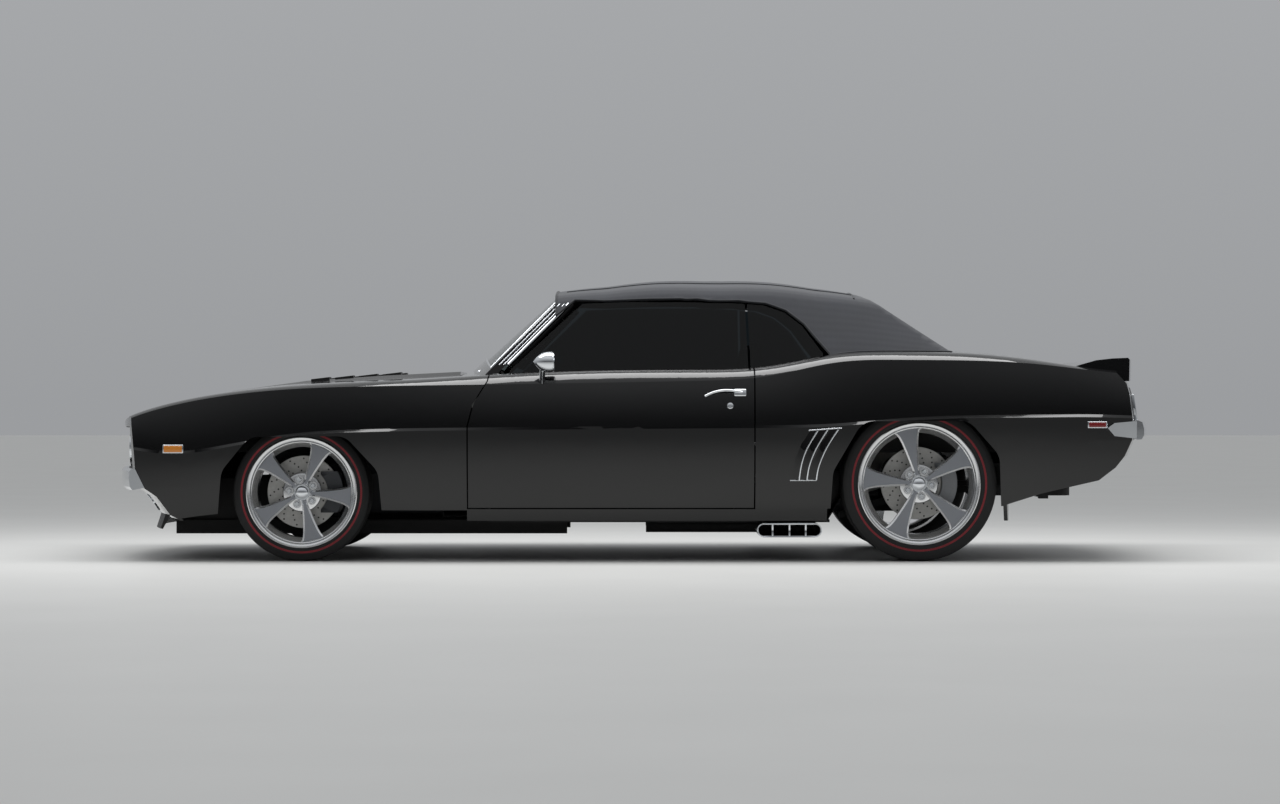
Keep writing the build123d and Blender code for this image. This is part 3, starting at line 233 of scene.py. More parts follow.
def dress(material, *names):
    """Give CAD nodes one material."""
    for name in names:
        mesh = NODES[name].data
        mesh.materials.clear()
        mesh.materials.append(material)


def both_sides(*stems):
    """Names of a left and a right node for each stem."""
    return [f"{stem}_{side}" for stem in stems for side in SIDES]


dress(BLACK_PAINT, *both_sides("fender", "door", "quarter"), "nose_header", "hood", "cowl", "sills",
      "rear_deck", "deck_lid", "front_valance", "rear_valance")
dress(TRIM, "hood_louvres", "tail_panel", "chin_spoiler", "dashboard", "grille")
dress(CHROME, "front_bumper", "rear_bumper")
dress(RED_LENS, "tail_lamps")
dress(GLASS, *both_sides("door_glass"), "quarter_glass", "rear_window")
dress(SCREEN_GLASS, "windscreen")
dress(UNDERSEAL, "floor_pan", "rear_floor", "subframe", "fuel_tank", "control_arms", "wheelhouses")
dress(IRON, "engine")
dress(FINS, "radiator")


# Building pieces
MERGE = 0.02 * MM


def make_piece(name, bm, materials, body, smooth_angle=35):
    """Object from a bmesh, shaded smooth up to an angle, riding on one body."""
    mesh = bpy.data.meshes.new(name)
    bm.to_mesh(mesh)
    bm.free()
    for material in materials:
        mesh.materials.append(material)
    piece = bpy.data.objects.new(name, mesh)
    bpy.context.scene.collection.objects.link(piece)
    mesh.shade_smooth()
    mesh.set_sharp_from_angle(angle=math.radians(smooth_angle))
    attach(piece, body)
    return piece


def copy_of(node):
    """Merged copy of a CAD node's mesh as a bmesh."""
    bm = bmesh.new()
    bm.from_mesh(NODES[node].data)
    bmesh.ops.remove_doubles(bm, verts=bm.verts, dist=MERGE)
    return bm


def paint(faces, index):
    """Give faces one of their piece's finishes."""
    for face in faces:
        face.material_index = index


def join(bm, part, index):
    """Add one bmesh, in one finish, to another."""
    paint(part.faces, index)
    mesh = bpy.data.meshes.new("part")
    part.to_mesh(mesh)
    part.free()
    bm.from_mesh(mesh)
    bpy.data.meshes.remove(mesh)


def spun(bm, profile, centre, axis, start, index, closed, steps):
    """Ring spun from (along axis, radius) points; an open profile starts and ends on the axis."""
    along, out = Vector(axis).normalized(), Vector(start).normalized()
    ring = bmesh.new()
    verts = [ring.verts.new(Vector(centre) + along * a + out * r) for a, r in profile]
    pairs = list(zip(verts, verts[1:])) + ([(verts[-1], verts[0])] if closed else [])
    edges = [ring.edges.new(pair) for pair in pairs]
    bmesh.ops.spin(ring, geom=verts + edges, cent=centre, axis=along, angle=2 * math.pi, steps=steps,
                   use_merge=True)
    bmesh.ops.remove_doubles(ring, verts=ring.verts, dist=MERGE)
    bmesh.ops.recalc_face_normals(ring, faces=ring.faces)
    join(bm, ring, index)


def rounded_bar(bm, size, place, bevel):
    """Bevelled block of one size under a placing matrix."""
    bar = bmesh.new()
    bmesh.ops.create_cube(bar, size=1.0, matrix=place @ Matrix.Diagonal((*size, 1)))
    bmesh.ops.bevel(bar, geom=bar.edges, offset=bevel, affect="EDGES", segments=3, profile=0.5,
                    material=-1)
    bmesh.ops.recalc_face_normals(bar, faces=bar.faces)
    join(bm, bar, 0)


def plate(bm, outline, thick, rise, index, top_index, inset, drop):
    """Prism grown from an outline along a vector, its top face of another finish inside a bevel."""
    before = set(bm.faces)
    base = bm.faces.new([bm.verts.new(p) for p in outline])
    grown = bmesh.ops.extrude_face_region(bm, geom=[base])
    top = next(f for f in grown["geom"] if isinstance(f, bmesh.types.BMFace))
    bmesh.ops.translate(bm, verts=top.verts, vec=rise.normalized() * (thick - drop))
    bmesh.ops.recalc_face_normals(bm, faces=[f for f in bm.faces if f not in before])
    bmesh.ops.inset_region(bm, faces=[top], thickness=inset, depth=drop)
    paint([f for f in bm.faces if f not in before], index)
    paint([top], top_index)


def skin_rows(bm, rows):
    """Close a bar from rows of corner points, with its two ends."""
    rows = [[bm.verts.new(point) for point in row] for row in rows]
    for row, following in zip(rows, rows[1:]):
        for i in range(len(row)):
            bm.faces.new((row[i], row[i - 1], following[i - 1], following[i]))
    bm.faces.new(rows[0])
    bm.faces.new(rows[-1])
    bmesh.ops.recalc_face_normals(bm, faces=bm.faces)


CLEAR_SIDE, CLEAR_END, CLEAR_TOP, BODY_HALF = 2, 4, 2, 0.85


def cross_hit(node, x, z, side):
    """Point and outward normal where a line across the car meets a node from outside."""
    start = Vector((x, side * CLEAR_SIDE, z))
    hit, place, normal, _ = NODES[node].ray_cast(start, Vector((0, -side, 0)))
    return (place, normal) if hit else (Vector((x, side * BODY_HALF, z)), Vector((0, side, 0)))


def end_hit(node, y, z, end):
    """Point and outward normal where a line along the car meets a node, from front (-1) or back (1)."""
    _, place, normal, _ = NODES[node].ray_cast(Vector((end * CLEAR_END, y, z)), Vector((-end, 0, 0)))
    return place, normal


def on_surface(place, normal):
    """Matrix on a surface: Y out of it, X level along it, Z up it."""
    level = Vector((0, 0, 1)).cross(normal).normalized()
    up = normal.cross(level)
    up = up if up.z > 0 else -up
    level = normal.cross(up)
    turn = Matrix((level, normal, up)).transposed().to_4x4()
    return Matrix.Translation(place) @ turn


def evaluated(piece):
    """Mesh of an object with its modifiers or curve settings worked out."""
    bpy.context.view_layer.update()
    return bpy.data.meshes.new_from_object(piece.evaluated_get(bpy.context.evaluated_depsgraph_get()))


def tube(name, points, width, material, body, cyclic=False, smooth=True):
    """Round bar along points: a smooth curve made a mesh."""
    curve = bpy.data.curves.new(name, "CURVE")
    curve.dimensions = "3D"
    curve.bevel_depth = width / 2
    curve.bevel_resolution = 4
    curve.use_fill_caps = True
    curve.resolution_u = 6
    line = curve.splines.new("NURBS" if smooth else "POLY")
    line.points.add(len(points) - 1)
    for point, place in zip(line.points, points):
        point.co = (*place, 1)
    line.use_cyclic_u = cyclic
    if smooth:
        line.order_u = 3
        line.use_endpoint_u = not cyclic
    holder = bpy.data.objects.new(name + "_path", curve)
    bpy.context.scene.collection.objects.link(holder)
    mesh = evaluated(holder)
    bpy.data.objects.remove(holder)
    bm = bmesh.new()
    bm.from_mesh(mesh)
    bpy.data.meshes.remove(mesh)
    return make_piece(name, bm, [material], body)


# Wheels: stepped polished rim, five flared spokes with satin faces, hub, dome, lug nuts, brake disc with
# dark discs of painted shade for its drilled holes
Y_AXIS, UP = Vector((0, 1, 0)), Vector((0, 0, 1))
WHEELS = {
    "front": dict(x=-1.471, y=0.745, r=0.305, half=0.107, tread=0.088, flange=0.248, barrel=0.212,
                  phase=-5, line=0.266),
    "rear": dict(x=1.272, y=0.742, r=0.344, half=0.137, tread=0.116, flange=0.273, barrel=0.236,
                 phase=30, line=0.296),
}
SPOKES, LUG_CIRCLE, HUB_BACK, HUB_R = 5, 0.057, 0.030, 0.088
FACE_IN, SPOKE_DEEP, SPOKE_BEVEL, SPOKE_DROP = 0.022, 0.030, 0.0075, 0.006
SPOKE_FOOT, WINDOW_END = 0.034, 0.034
SPOKE_EDGE = [(0.0, 0.0110), (0.14, 0.0135), (0.28, 0.0175), (0.42, 0.0215), (0.59, 0.0270), (0.76, 0.0335),
              (0.89, 0.0405), (0.96, 0.0475), (1.0, 0.0570), (1.045, 0.0600)]
DISC_IN, DISC_R, DISC_THICK, DISC_BORE, DISC_HAT = 0.008, 0.162, 0.026, 0.0305, 0.075
DISC_HOLES, DISC_ROWS, HOLE_R, HOLE_SHADE_DEPTH = 60, (0.096, 0.114, 0.132, 0.150), 0.004, 0.0006
RIM_SHY, LUG_PHASE = 0.005, 36
WALL_TOP, WALL_BULGE, DRAW_FOOT, DRAW_TOP = 0.020, 0.42, 0.007, 0.006
TYRE_GROOVES, GROOVE_HALF, GROOVE_SLOPE, GROOVE_DEEP = 4, 0.004, 0.0015, 0.007
RED_LINE_SECTION = [(-0.004, 0.0048), (0.0, 0.0042), (0.0, -0.0042), (-0.004, -0.0048)]
RED_LINE_SUNK = 0.0004
WHEEL_FINISHES = [POLISHED, SATIN, DISC, CHROME, TRIM]
FINISH_RIM, FINISH_FACE, FINISH_DISC, FINISH_BRIGHT, FINISH_HOLE_SHADE = range(5)


def wheel_point(centre, side, out, along, across):
    """Point of a wheel from its distance outboard and its place on the wheel's face."""
    return centre + Vector((along, side * out, across))


def wheel_turned(bm, profile, spot, side, finish, closed, steps):
    """Ring of a wheel from (outboard, radius) points about a line across the car."""
    spun(bm, [(side * out, r) for out, r in profile], spot, Y_AXIS, UP, finish, closed, steps)


def wheel_rim(bm, centre, side, rim_half, flange, barrel):
    """Rim from its inner flange, along the drop centre, over the stepped outer lip and back."""
    inner = [(-rim_half, flange), (-rim_half, flange - 0.010), (-rim_half + 0.012, flange - 0.026),
             (-rim_half + 0.062, barrel - 0.010), (rim_half - 0.062, barrel - 0.010),
             (rim_half - 0.042, flange - 0.033)]
    lip = [(rim_half - 0.028, flange - 0.0275), (rim_half - 0.017, flange - 0.0255),
           (rim_half - 0.0155, flange - 0.0225), (rim_half - 0.006, flange - 0.0185),
           (rim_half - 0.001, flange - 0.0120), (rim_half, flange - 0.0050),
           (rim_half - 0.002, flange - 0.0010), (rim_half - 0.008, flange)]
    outer = [(rim_half - 0.010, flange - 0.018), (rim_half - 0.047, flange - 0.020),
             (rim_half - 0.062, barrel), (-rim_half + 0.062, barrel),
             (-rim_half + 0.047, flange - 0.020), (-rim_half + 0.010, flange - 0.018)]
    wheel_turned(bm, inner + lip + outer, centre, side, FINISH_RIM, True, 128)


def wheel_spokes(bm, centre, side, face, flange, phase):
    """Five flared spokes with bevelled edges."""
    reach = flange - WINDOW_END - SPOKE_FOOT
    broad = flange / WHEELS["front"]["flange"]
    edge = [(SPOKE_FOOT + t * reach, half * broad) for t, half in SPOKE_EDGE]
    flat = edge + [(along, -half) for along, half in reversed(edge)]
    for k in range(SPOKES):
        angle = math.radians(phase + 360 / SPOKES * k)
        c, s = math.cos(angle), math.sin(angle)
        back = face - SPOKE_DEEP
        outline = [wheel_point(centre, side, back, u * c - v * s, u * s + v * c) for u, v in flat]
        plate(bm, outline, SPOKE_DEEP, Vector((0, side, 0)), FINISH_RIM, FINISH_FACE, SPOKE_BEVEL,
              SPOKE_DROP)


def wheel_hub(bm, centre, side, face, phase):
    """Hub plate, domed cap, and lug nuts in their cups between the spokes."""
    hub = [(HUB_BACK, 0), (HUB_BACK, HUB_R - 0.006), (face - 0.024, HUB_R), (face - 0.018, HUB_R - 0.004),
           (face - 0.015, HUB_R - 0.016), (face - 0.014, 0)]
    wheel_turned(bm, hub, centre, side, FINISH_RIM, False, 64)
    dome = [(face - 0.016, 0), (face - 0.016, 0.036), (face + 0.001, 0.036), (face + 0.003, 0.034),
            (face + 0.003, 0.029), (face + 0.011, 0.0275), (face + 0.018, 0.020), (face + 0.022, 0.010),
            (face + 0.023, 0)]
    wheel_turned(bm, dome, centre, side, FINISH_BRIGHT, False, 48)
    cup = [(face - 0.016, 0), (face - 0.016, 0.0185), (face - 0.010, 0.0185), (face - 0.010, 0.0155),
           (face - 0.013, 0.0145), (face - 0.013, 0)]
    nut = [(face - 0.014, 0), (face - 0.014, 0.0125), (face + 0.001, 0.0115), (face + 0.004, 0.0085),
           (face + 0.004, 0.005), (face + 0.001, 0.004), (face + 0.001, 0)]
    for k in range(SPOKES):
        angle = math.radians(phase + LUG_PHASE + 360 / SPOKES * k)
        spot = wheel_point(centre, side, 0, LUG_CIRCLE * math.cos(angle), LUG_CIRCLE * math.sin(angle))
        wheel_turned(bm, cup, spot, side, FINISH_RIM, False, 24)
        wheel_turned(bm, nut, spot, side, FINISH_BRIGHT, False, 6)


def brake_disc(bm, centre, side):
    """Brake disc with its hat, and thin dark discs of painted shade standing in for the drilled holes."""
    back = -DISC_IN - DISC_THICK
    disc = [(HUB_BACK, DISC_BORE), (HUB_BACK, DISC_HAT), (-DISC_IN, DISC_HAT + 0.003),
            (-DISC_IN, DISC_R - 0.001), (-DISC_IN - 0.001, DISC_R), (back, DISC_R), (back, DISC_BORE)]
    wheel_turned(bm, disc, centre, side, FINISH_DISC, True, 96)
    # Painted shade: the drilled holes are thin dark discs on the disc's face, not cut through it
    holes = bmesh.new()
    for k in range(DISC_HOLES):
        angle = 2 * math.pi * k / DISC_HOLES
        radius = DISC_ROWS[k % len(DISC_ROWS)]
        spot = wheel_point(centre, side, -DISC_IN, radius * math.cos(angle), radius * math.sin(angle))
        place = Matrix.Translation(spot) @ Matrix.Rotation(math.pi / 2, 4, "X")
        bmesh.ops.create_cone(holes, cap_ends=True, segments=10, radius1=HOLE_R, radius2=HOLE_R,
                              depth=HOLE_SHADE_DEPTH, matrix=place)
    join(bm, holes, FINISH_HOLE_SHADE)


def side_wall(wheel, r):
    """Distance outboard of the tyre's side wall at one radius."""
    foot, top = wheel["flange"], wheel["r"] - WALL_TOP
    bulge = foot + (wheel["r"] - foot) * WALL_BULGE
    if r < bulge:
        return wheel["half"] - DRAW_FOOT * ((bulge - r) / (bulge - foot)) ** 2
    return wheel["half"] - DRAW_TOP * ((r - bulge) / (top - bulge)) ** 2


def tyre_profile(wheel):
    """Half of the tyre's section, from the rim over the side wall and across the grooved tread."""
    foot, top, tread = wheel["flange"] + 0.0004, wheel["r"], wheel["tread"]
    ribs = [(0.0, -0.002), (0.004, 0.0), (0.0045, 0.0008), (0.009, 0.0008), (0.0095, 0.0)]
    wall = [(side_wall(wheel, foot + rise) + lift - 0.001, foot + rise) for rise, lift in ribs]
    plain = (wheel["line"], (wheel["line"] + top - 0.024) / 2, top - 0.024)
    wall += [(side_wall(wheel, r) - 0.001, r) for r in plain]
    wall += [(side_wall(wheel, top - 0.0215), top - 0.0215), (wheel["half"] - 0.007, top - 0.017),
             (wheel["half"] - 0.011, top - 0.007), (tread, top - 0.001), (tread - 0.006, top)]
    pitch = 2 * tread / (TYRE_GROOVES + 1)
    for c in [tread - pitch * (k + 1) for k in range(TYRE_GROOVES)]:
        if c > 0:
            wall += [(c + GROOVE_HALF, top), (c + GROOVE_HALF - GROOVE_SLOPE, top - GROOVE_DEEP),
                     (c - GROOVE_HALF + GROOVE_SLOPE, top - GROOVE_DEEP), (c - GROOVE_HALF, top)]
    return wall


def dress_wheel(place, side_name):
    """Wheel, tyre and red line at one corner of the car."""
    wheel, side = WHEELS[place], SIDES[side_name]
    node, tyre = f"wheel_{place}_{side_name}", f"tyre_{place}_{side_name}"
    body = f"{place}_{side_name}_wheel"
    centre = Vector((wheel["x"], side * wheel["y"], wheel["r"]))
    rim_half = wheel["half"] - RIM_SHY
    face = rim_half - FACE_IN
    bm = bmesh.new()
    wheel_rim(bm, centre, side, rim_half, wheel["flange"], wheel["barrel"])
    wheel_spokes(bm, centre, side, face, wheel["flange"], wheel["phase"])
    wheel_hub(bm, centre, side, face, wheel["phase"])
    brake_disc(bm, centre, side)
    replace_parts(make_piece(f"{node}_dressed", bm, WHEEL_FINISHES, body, 30), node)

    half = tyre_profile(wheel)
    bm = bmesh.new()
    wheel_turned(bm, half + [(-a, r) for a, r in reversed(half)], centre, side, 0, True, 128)
    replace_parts(make_piece(f"{tyre}_dressed", bm, [RUBBER], body, 30), tyre)

    wall = side_wall(wheel, wheel["line"]) - RED_LINE_SUNK
    ring = [(wall + a, wheel["line"] + r) for a, r in RED_LINE_SECTION]
    bm = bmesh.new()
    wheel_turned(bm, ring, centre, side, 0, True, 128)
    make_piece(f"{tyre}_red_line", bm, [RED_LINE], body)


for place in WHEELS:
    for side_name in SIDES:
        dress_wheel(place, side_name)


# Brake calipers, told apart on their carriers by their place behind the axle
CALIPER_REACH, CALIPER_BEHIND, CALIPER_INBOARD = 0.1, 0.07, 0.08


def dress_calipers(node, wheel, caliper_material, body):
    """Carrier in underseal with its caliper in a finish of its own."""
    bm = copy_of(node)
    for f in bm.faces:
        spot = f.calc_center_median()
        reach = math.hypot(spot.x - wheel["x"], spot.z - wheel["r"])
        behind = reach > CALIPER_REACH and spot.x > wheel["x"] + CALIPER_BEHIND
        f.material_index = 1 if behind and abs(spot.y) > wheel["y"] - CALIPER_INBOARD else 0
    piece = make_piece(f"{node}_dressed", bm, [UNDERSEAL, caliper_material], body)
    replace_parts(piece, node)


for side_name in SIDES:
    dress_calipers(f"knuckle_{side_name}", WHEELS["front"], DARK_CALIPER, f"{side_name}_steering")
dress_calipers("rear_axle", WHEELS["rear"], BARE_CALIPER, "car_body")

# Exhaust: bright oval outlet rims, dark inside and along the silencers
TIP_Z, TIP_HALF_TALL, TIP_FROM, RIM_FROM = 0.138, 0.0255, 0.72, 0.8765
TIP_FRONT, TIP_REAR = 0.5595, 0.8325
bm = copy_of("exhaust")
for f in bm.faces:
    spot = f.calc_center_median()
    outside = abs(spot.z - TIP_Z) > TIP_HALF_TALL or spot.x < TIP_FRONT or spot.x > TIP_REAR
    f.material_index = 1 if abs(spot.y) > RIM_FROM or (abs(spot.y) > TIP_FROM and outside) else 0
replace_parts(make_piece("exhaust_dressed", bm, [UNDERSEAL, CHROME], "car_body"), "exhaust")

# Lamps at nose and tail
LAMP_Y, LAMP_Z, LENS_R, LENS_BACK = 0.655, 0.503, 0.0775, -2.22
bm = copy_of("headlamps")
for f in bm.faces:
    spot = f.calc_center_median()
    reach = math.hypot(abs(spot.y) - LAMP_Y, spot.z - LAMP_Z)
    f.material_index = 1 if reach < LENS_R and spot.x < LENS_BACK else 0
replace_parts(make_piece("headlamps_dressed", bm, [CHROME, LENS], "car_body"), "headlamps")

PARKING_Y, PARKING_Z, PARKING_R = 0.50, 0.258, 0.045
for side_name, side in SIDES.items():
    place, normal = end_hit("front_valance", side * PARKING_Y, PARKING_Z, -1)
    bm = bmesh.new()
    bezel = [(-0.006, PARKING_R + 0.006), (0.004, PARKING_R + 0.006), (0.006, PARKING_R + 0.002),
             (0.004, PARKING_R), (-0.006, PARKING_R)]
    spun(bm, bezel, place, normal, normal.cross(Y_AXIS), 0, True, 48)
    lens = [(-0.006, 0), (-0.006, PARKING_R), (0.001, PARKING_R), (0.005, PARKING_R * 0.6), (0.006, 0)]
    spun(bm, lens, place, normal, normal.cross(Y_AXIS), 1, False, 48)
    make_piece(f"parking_lamp_{side_name}", bm, [CHROME, AMBER], "car_body")

TAIL_CELLS = [(0.330, 0.452), (0.458, 0.580), (0.586, 0.708)]
CELL_LOW, CELL_HIGH, CELL_BAR, CELL_BAR_DEEP, CELL_BEVEL = 0.632, 0.735, 0.006, 0.022, 0.002
for side_name, side in SIDES.items():
    bm = bmesh.new()
    for z in (CELL_LOW - CELL_BAR / 2, CELL_HIGH + CELL_BAR / 2):
        for inner, outer in TAIL_CELLS:
            place, normal = end_hit("tail_panel", side * (inner + outer) / 2, z, 1)
            size = (outer - inner + CELL_BAR * 2, CELL_BAR_DEEP, CELL_BAR)
            rounded_bar(bm, size, on_surface(place, normal), CELL_BEVEL)
    size = (CELL_BAR, CELL_BAR_DEEP, CELL_HIGH - CELL_LOW + CELL_BAR * 2)
    for y in [TAIL_CELLS[0][0] - CELL_BAR / 2] + [outer + CELL_BAR / 2 for _, outer in TAIL_CELLS]:
        place, normal = end_hit("tail_panel", side * y, (CELL_LOW + CELL_HIGH) / 2, 1)
        rounded_bar(bm, size, on_surface(place, normal), CELL_BEVEL)
    make_piece(f"tail_lamp_bezel_{side_name}", bm, [CHROME], "car_body")

# Side markers, quarter gills, door locks
MARKERS = [("front", "fender", -2.036, 0.4985, 0.084, 0.030, AMBER, "lamp_glass"),
           ("rear", "quarter", 2.06, 0.606, 0.078, 0.022, RED_LENS, "red_lens")]
GILL_CURVES = [[(0.818, 0.579), (0.781, 0.5245), (0.752, 0.4585), (0.740, 0.396), (0.737, 0.361)],
               [(0.862, 0.583), (0.821, 0.5245), (0.788, 0.451), (0.775, 0.400), (0.7715, 0.363)],
               [(0.909, 0.585), (0.8655, 0.5245), (0.829, 0.444), (0.817, 0.400), (0.813, 0.363)]]
GILL_BARS = [[(0.779, 0.5815), (0.924, 0.592)], [(0.696, 0.360), (0.813, 0.3605)]]
GILL_RISE, GILL_BROAD, GILL_EDGE, GILL_EDGE_RISE, GILL_SUNK = 0.006, 0.034, 0.007, 0.6, 0.002
GILL_BAR_WIDE, GILL_BAR_LIFT = 0.006, 0.001
MARKER_BORDER, MARKER_DEEP, MARKER_LENS_DEEP, MARKER_BEVEL = (0.010, 0.008), 0.010, 0.013, 0.003
LOCK_AT = (0.432, 0.690)
for side_name, side in SIDES.items():
    for end, panel, x, z, wide, tall, lens, slot_name in MARKERS:
        spot = on_surface(*cross_hit(f"{panel}_{side_name}", x, z, side))
        bm = bmesh.new()
        size = (wide + MARKER_BORDER[0], MARKER_DEEP, tall + MARKER_BORDER[1])
        rounded_bar(bm, size, spot, MARKER_BEVEL)
        make_piece(f"marker_bezel_{end}_{side_name}", bm, [CHROME], "car_body")
        bm = bmesh.new()
        rounded_bar(bm, (wide, MARKER_LENS_DEEP, tall), spot, MARKER_BEVEL)
        make_piece(f"marker_lens_{end}_{side_name}", bm, [lens], "car_body")

    quarter = f"quarter_{side_name}"
    for k, curve in enumerate(GILL_CURVES):
        edge = []
        rows = []
        for x, z in curve:
            ahead, _ = cross_hit(quarter, x - GILL_BROAD, z, side)
            at, normal = cross_hit(quarter, x, z, side)
            sunk = normal * GILL_SUNK
            edge.append(at + normal * GILL_RISE * GILL_EDGE_RISE)
            rows.append((ahead, at + normal * GILL_RISE, at - sunk, ahead - sunk))
        bm = bmesh.new()
        skin_rows(bm, rows)
        make_piece(f"gill_{k + 1}_{side_name}", bm, [BLACK_PAINT], "car_body")
        tube(f"gill_edge_{k + 1}_{side_name}", edge, GILL_EDGE, CHROME, "car_body")
    for k, bar in enumerate(GILL_BARS):
        points = []
        for x, z in bar:
            at, normal = cross_hit(quarter, x, z, side)
            points.append(at + normal * GILL_BAR_LIFT)
        tube(f"gill_bar_{k + 1}_{side_name}", points, GILL_BAR_WIDE, CHROME, "car_body",
             smooth=False)

    at, normal = cross_hit(f"door_{side_name}", *LOCK_AT, side)
    bm = bmesh.new()
    lock = [(-0.003, 0), (-0.003, 0.0135), (0.003, 0.0135), (0.0045, 0.011), (0.0045, 0.006),
            (0.003, 0.005), (0.003, 0)]
    spun(bm, lock, at, normal, normal.cross(UP), 0, False, 40)
    make_piece(f"door_lock_{side_name}", bm, [CHROME], f"{side_name}_door")

# Door fittings: bullet mirror with silvered glass, arched pull handle with its push block
HANDLE_FROM = 0.1
HANDLE_ARCH = [(0.322, 0.733, 0.000), (0.345, 0.744, 0.012), (0.395, 0.754, 0.020),
               (0.445, 0.754, 0.020), (0.485, 0.748, 0.010)]
HANDLE_WIDE, HANDLE_BLOCK, BLOCK_AT, BLOCK_BEVEL = 0.011, (0.056, 0.026, 0.034), (0.476, 0.747), 0.007
MIRROR_BACK, MIRROR_Y, MIRROR_Z, MIRROR_R = -0.350, 0.905, 0.884, 0.044
for side_name, side in SIDES.items():
    node, body, door = f"door_fittings_{side_name}", f"{side_name}_door", f"door_{side_name}"
    bm = copy_of(node)
    bmesh.ops.delete(bm, geom=[v for v in bm.verts if v.co.x > HANDLE_FROM], context="VERTS")
    glass_place = Vector((MIRROR_BACK, side * MIRROR_Y, MIRROR_Z))
    rim = [(-0.002, MIRROR_R - 0.001), (0.002, MIRROR_R - 0.002), (0.002, MIRROR_R - 0.006),
           (-0.002, MIRROR_R - 0.006)]
    spun(bm, rim, glass_place, (1, 0, 0), UP, 0, True, 40)
    silver = [(-0.002, 0), (-0.002, MIRROR_R - 0.006), (0.0006, MIRROR_R - 0.006), (0.0006, 0)]
    spun(bm, silver, glass_place, (1, 0, 0), UP, 1, False, 40)
    at, normal = cross_hit(door, *BLOCK_AT, side)
    rounded_bar(bm, HANDLE_BLOCK, on_surface(at, normal), BLOCK_BEVEL)
    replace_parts(make_piece(f"{node}_dressed", bm, [CHROME, MIRROR], body), node)
    arch = []
    for x, z, lift in HANDLE_ARCH:
        at, normal = cross_hit(door, x, z, side)
        arch.append(at + normal * lift)
    tube(f"door_pull_{side_name}", arch, HANDLE_WIDE, CHROME, body)

# Windscreen: black frame, bright reveal round the glass, bright mouldings up the pillars
SCREEN_FOOT = Vector((-0.640, 0, 0.835))
SCREEN_UP, SCREEN_OUT = Vector((0.7394, 0, 0.6737)), Vector((-0.6737, 0, 0.7394))
BOW, BOW_R, FRAME_OUT, FRAME_BACK = 0.070, 3.763, 0.012, -0.343
REVEAL_LOW, REVEAL_HIGH, REVEAL_WIDE, REVEAL_STEPS = (0.713, 0.021), (0.565, 0.441), 0.011, 12


def on_screen(across, up):
    """Point on the front of the windscreen frame."""
    lift = FRAME_OUT + BOW - (BOW_R - math.sqrt(BOW_R ** 2 - across ** 2))
    return SCREEN_FOOT + SCREEN_UP * up + SCREEN_OUT * lift + Y_AXIS * across


bm = copy_of("screen_frame")
bmesh.ops.bisect_plane(bm, geom=bm.verts[:] + bm.edges[:] + bm.faces[:], plane_co=(FRAME_BACK, 0, 0),
                       plane_no=(1, 0, 0), clear_outer=True)
bmesh.ops.holes_fill(bm, edges=[e for e in bm.edges if e.is_boundary], sides=0)
piece = make_piece("screen_frame_dressed", bm, [BLACK_PAINT], "car_body")
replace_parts(piece, "screen_frame")
steps = range(-REVEAL_STEPS, REVEAL_STEPS + 1)
reveal = [on_screen(REVEAL_LOW[0] * k / REVEAL_STEPS, REVEAL_LOW[1]) for k in steps]
reveal += [on_screen(REVEAL_HIGH[0] * k / REVEAL_STEPS, REVEAL_HIGH[1]) for k in reversed(steps)]
tube("screen_reveal", reveal, REVEAL_WIDE, CHROME, "car_body", cyclic=True, smooth=False)

# Bands up each pillar: shift along the car, shift inward, width, finish
PILLARS = [("moulding", -0.013, 0.006, 0.020, CHROME, "bright_trim"),
           ("edge", -0.054, 0.0, 0.007, CHROME, "bright_trim"),
           ("bead", -0.034, 0.0, 0.007, CHROME, "bright_trim"),
           ("seal", 0.0, 0.030, 0.034, TRIM, "black_trim")]
PILLAR_HEIGHTS = (0.872, 0.94, 1.01, 1.08, 1.148)
PILLAR_X, PILLAR_X_FROM, PILLAR_RAKE = -0.565, 0.85, 0.977
PILLAR_Y, PILLAR_Y_FROM, PILLAR_LEAN = 0.725, 0.84, 0.4
for side_name, side in SIDES.items():
    for part, along, inward, width, material, slot_name in PILLARS:
        path = []
        for z in PILLAR_HEIGHTS:
            x = PILLAR_X + (z - PILLAR_X_FROM) * PILLAR_RAKE + along
            y = PILLAR_Y - PILLAR_LEAN * (z - PILLAR_Y_FROM) - inward
            path.append(Vector((x, side * y, z)))
        tube(f"pillar_{part}_{side_name}", path, width, material, "car_body")

# Painted shade: a dark sheet behind the grille bars stands in for the shade inside the grille
SHADE_SHEET_HALF, SHADE_SHEET_STEPS, SHADE_SHEET_Z, SHADE_SHEET_SUNK = 0.56, 16, 0.503, 0.001
SHADE_SHEET_LOW, SHADE_SHEET_HIGH, SHADE_SHEET_THICK = 0.410, 0.596, 0.002
SHADE_SHEET_SECTION = [(0, SHADE_SHEET_LOW), (SHADE_SHEET_THICK, SHADE_SHEET_LOW), (SHADE_SHEET_THICK, SHADE_SHEET_HIGH), (0, SHADE_SHEET_HIGH)]
rows = []
for k in range(-SHADE_SHEET_STEPS, SHADE_SHEET_STEPS + 1):
    y = SHADE_SHEET_HALF * k / SHADE_SHEET_STEPS
    x = end_hit("grille", y, SHADE_SHEET_Z, 1)[0].x - SHADE_SHEET_SUNK
    rows.append([(x + back, y, z) for back, z in SHADE_SHEET_SECTION])
bm = bmesh.new()
skin_rows(bm, rows)
make_piece("grille_shade_sheet", bm, [TRIM], "car_body")

# Splash aprons on the front rails, ahead of the wheels
APRON_SIZE, APRON_X, APRON_Y, APRON_Z, APRON_BEVEL = (0.40, 0.004, 0.195), -1.86, 0.40, 0.262, 0.001
for side_name, side in SIDES.items():
    bm = bmesh.new()
    rounded_bar(bm, APRON_SIZE, Matrix.Translation((APRON_X, side * APRON_Y, APRON_Z)), APRON_BEVEL)
    make_piece(f"splash_apron_{side_name}", bm, [UNDERSEAL], "car_body")

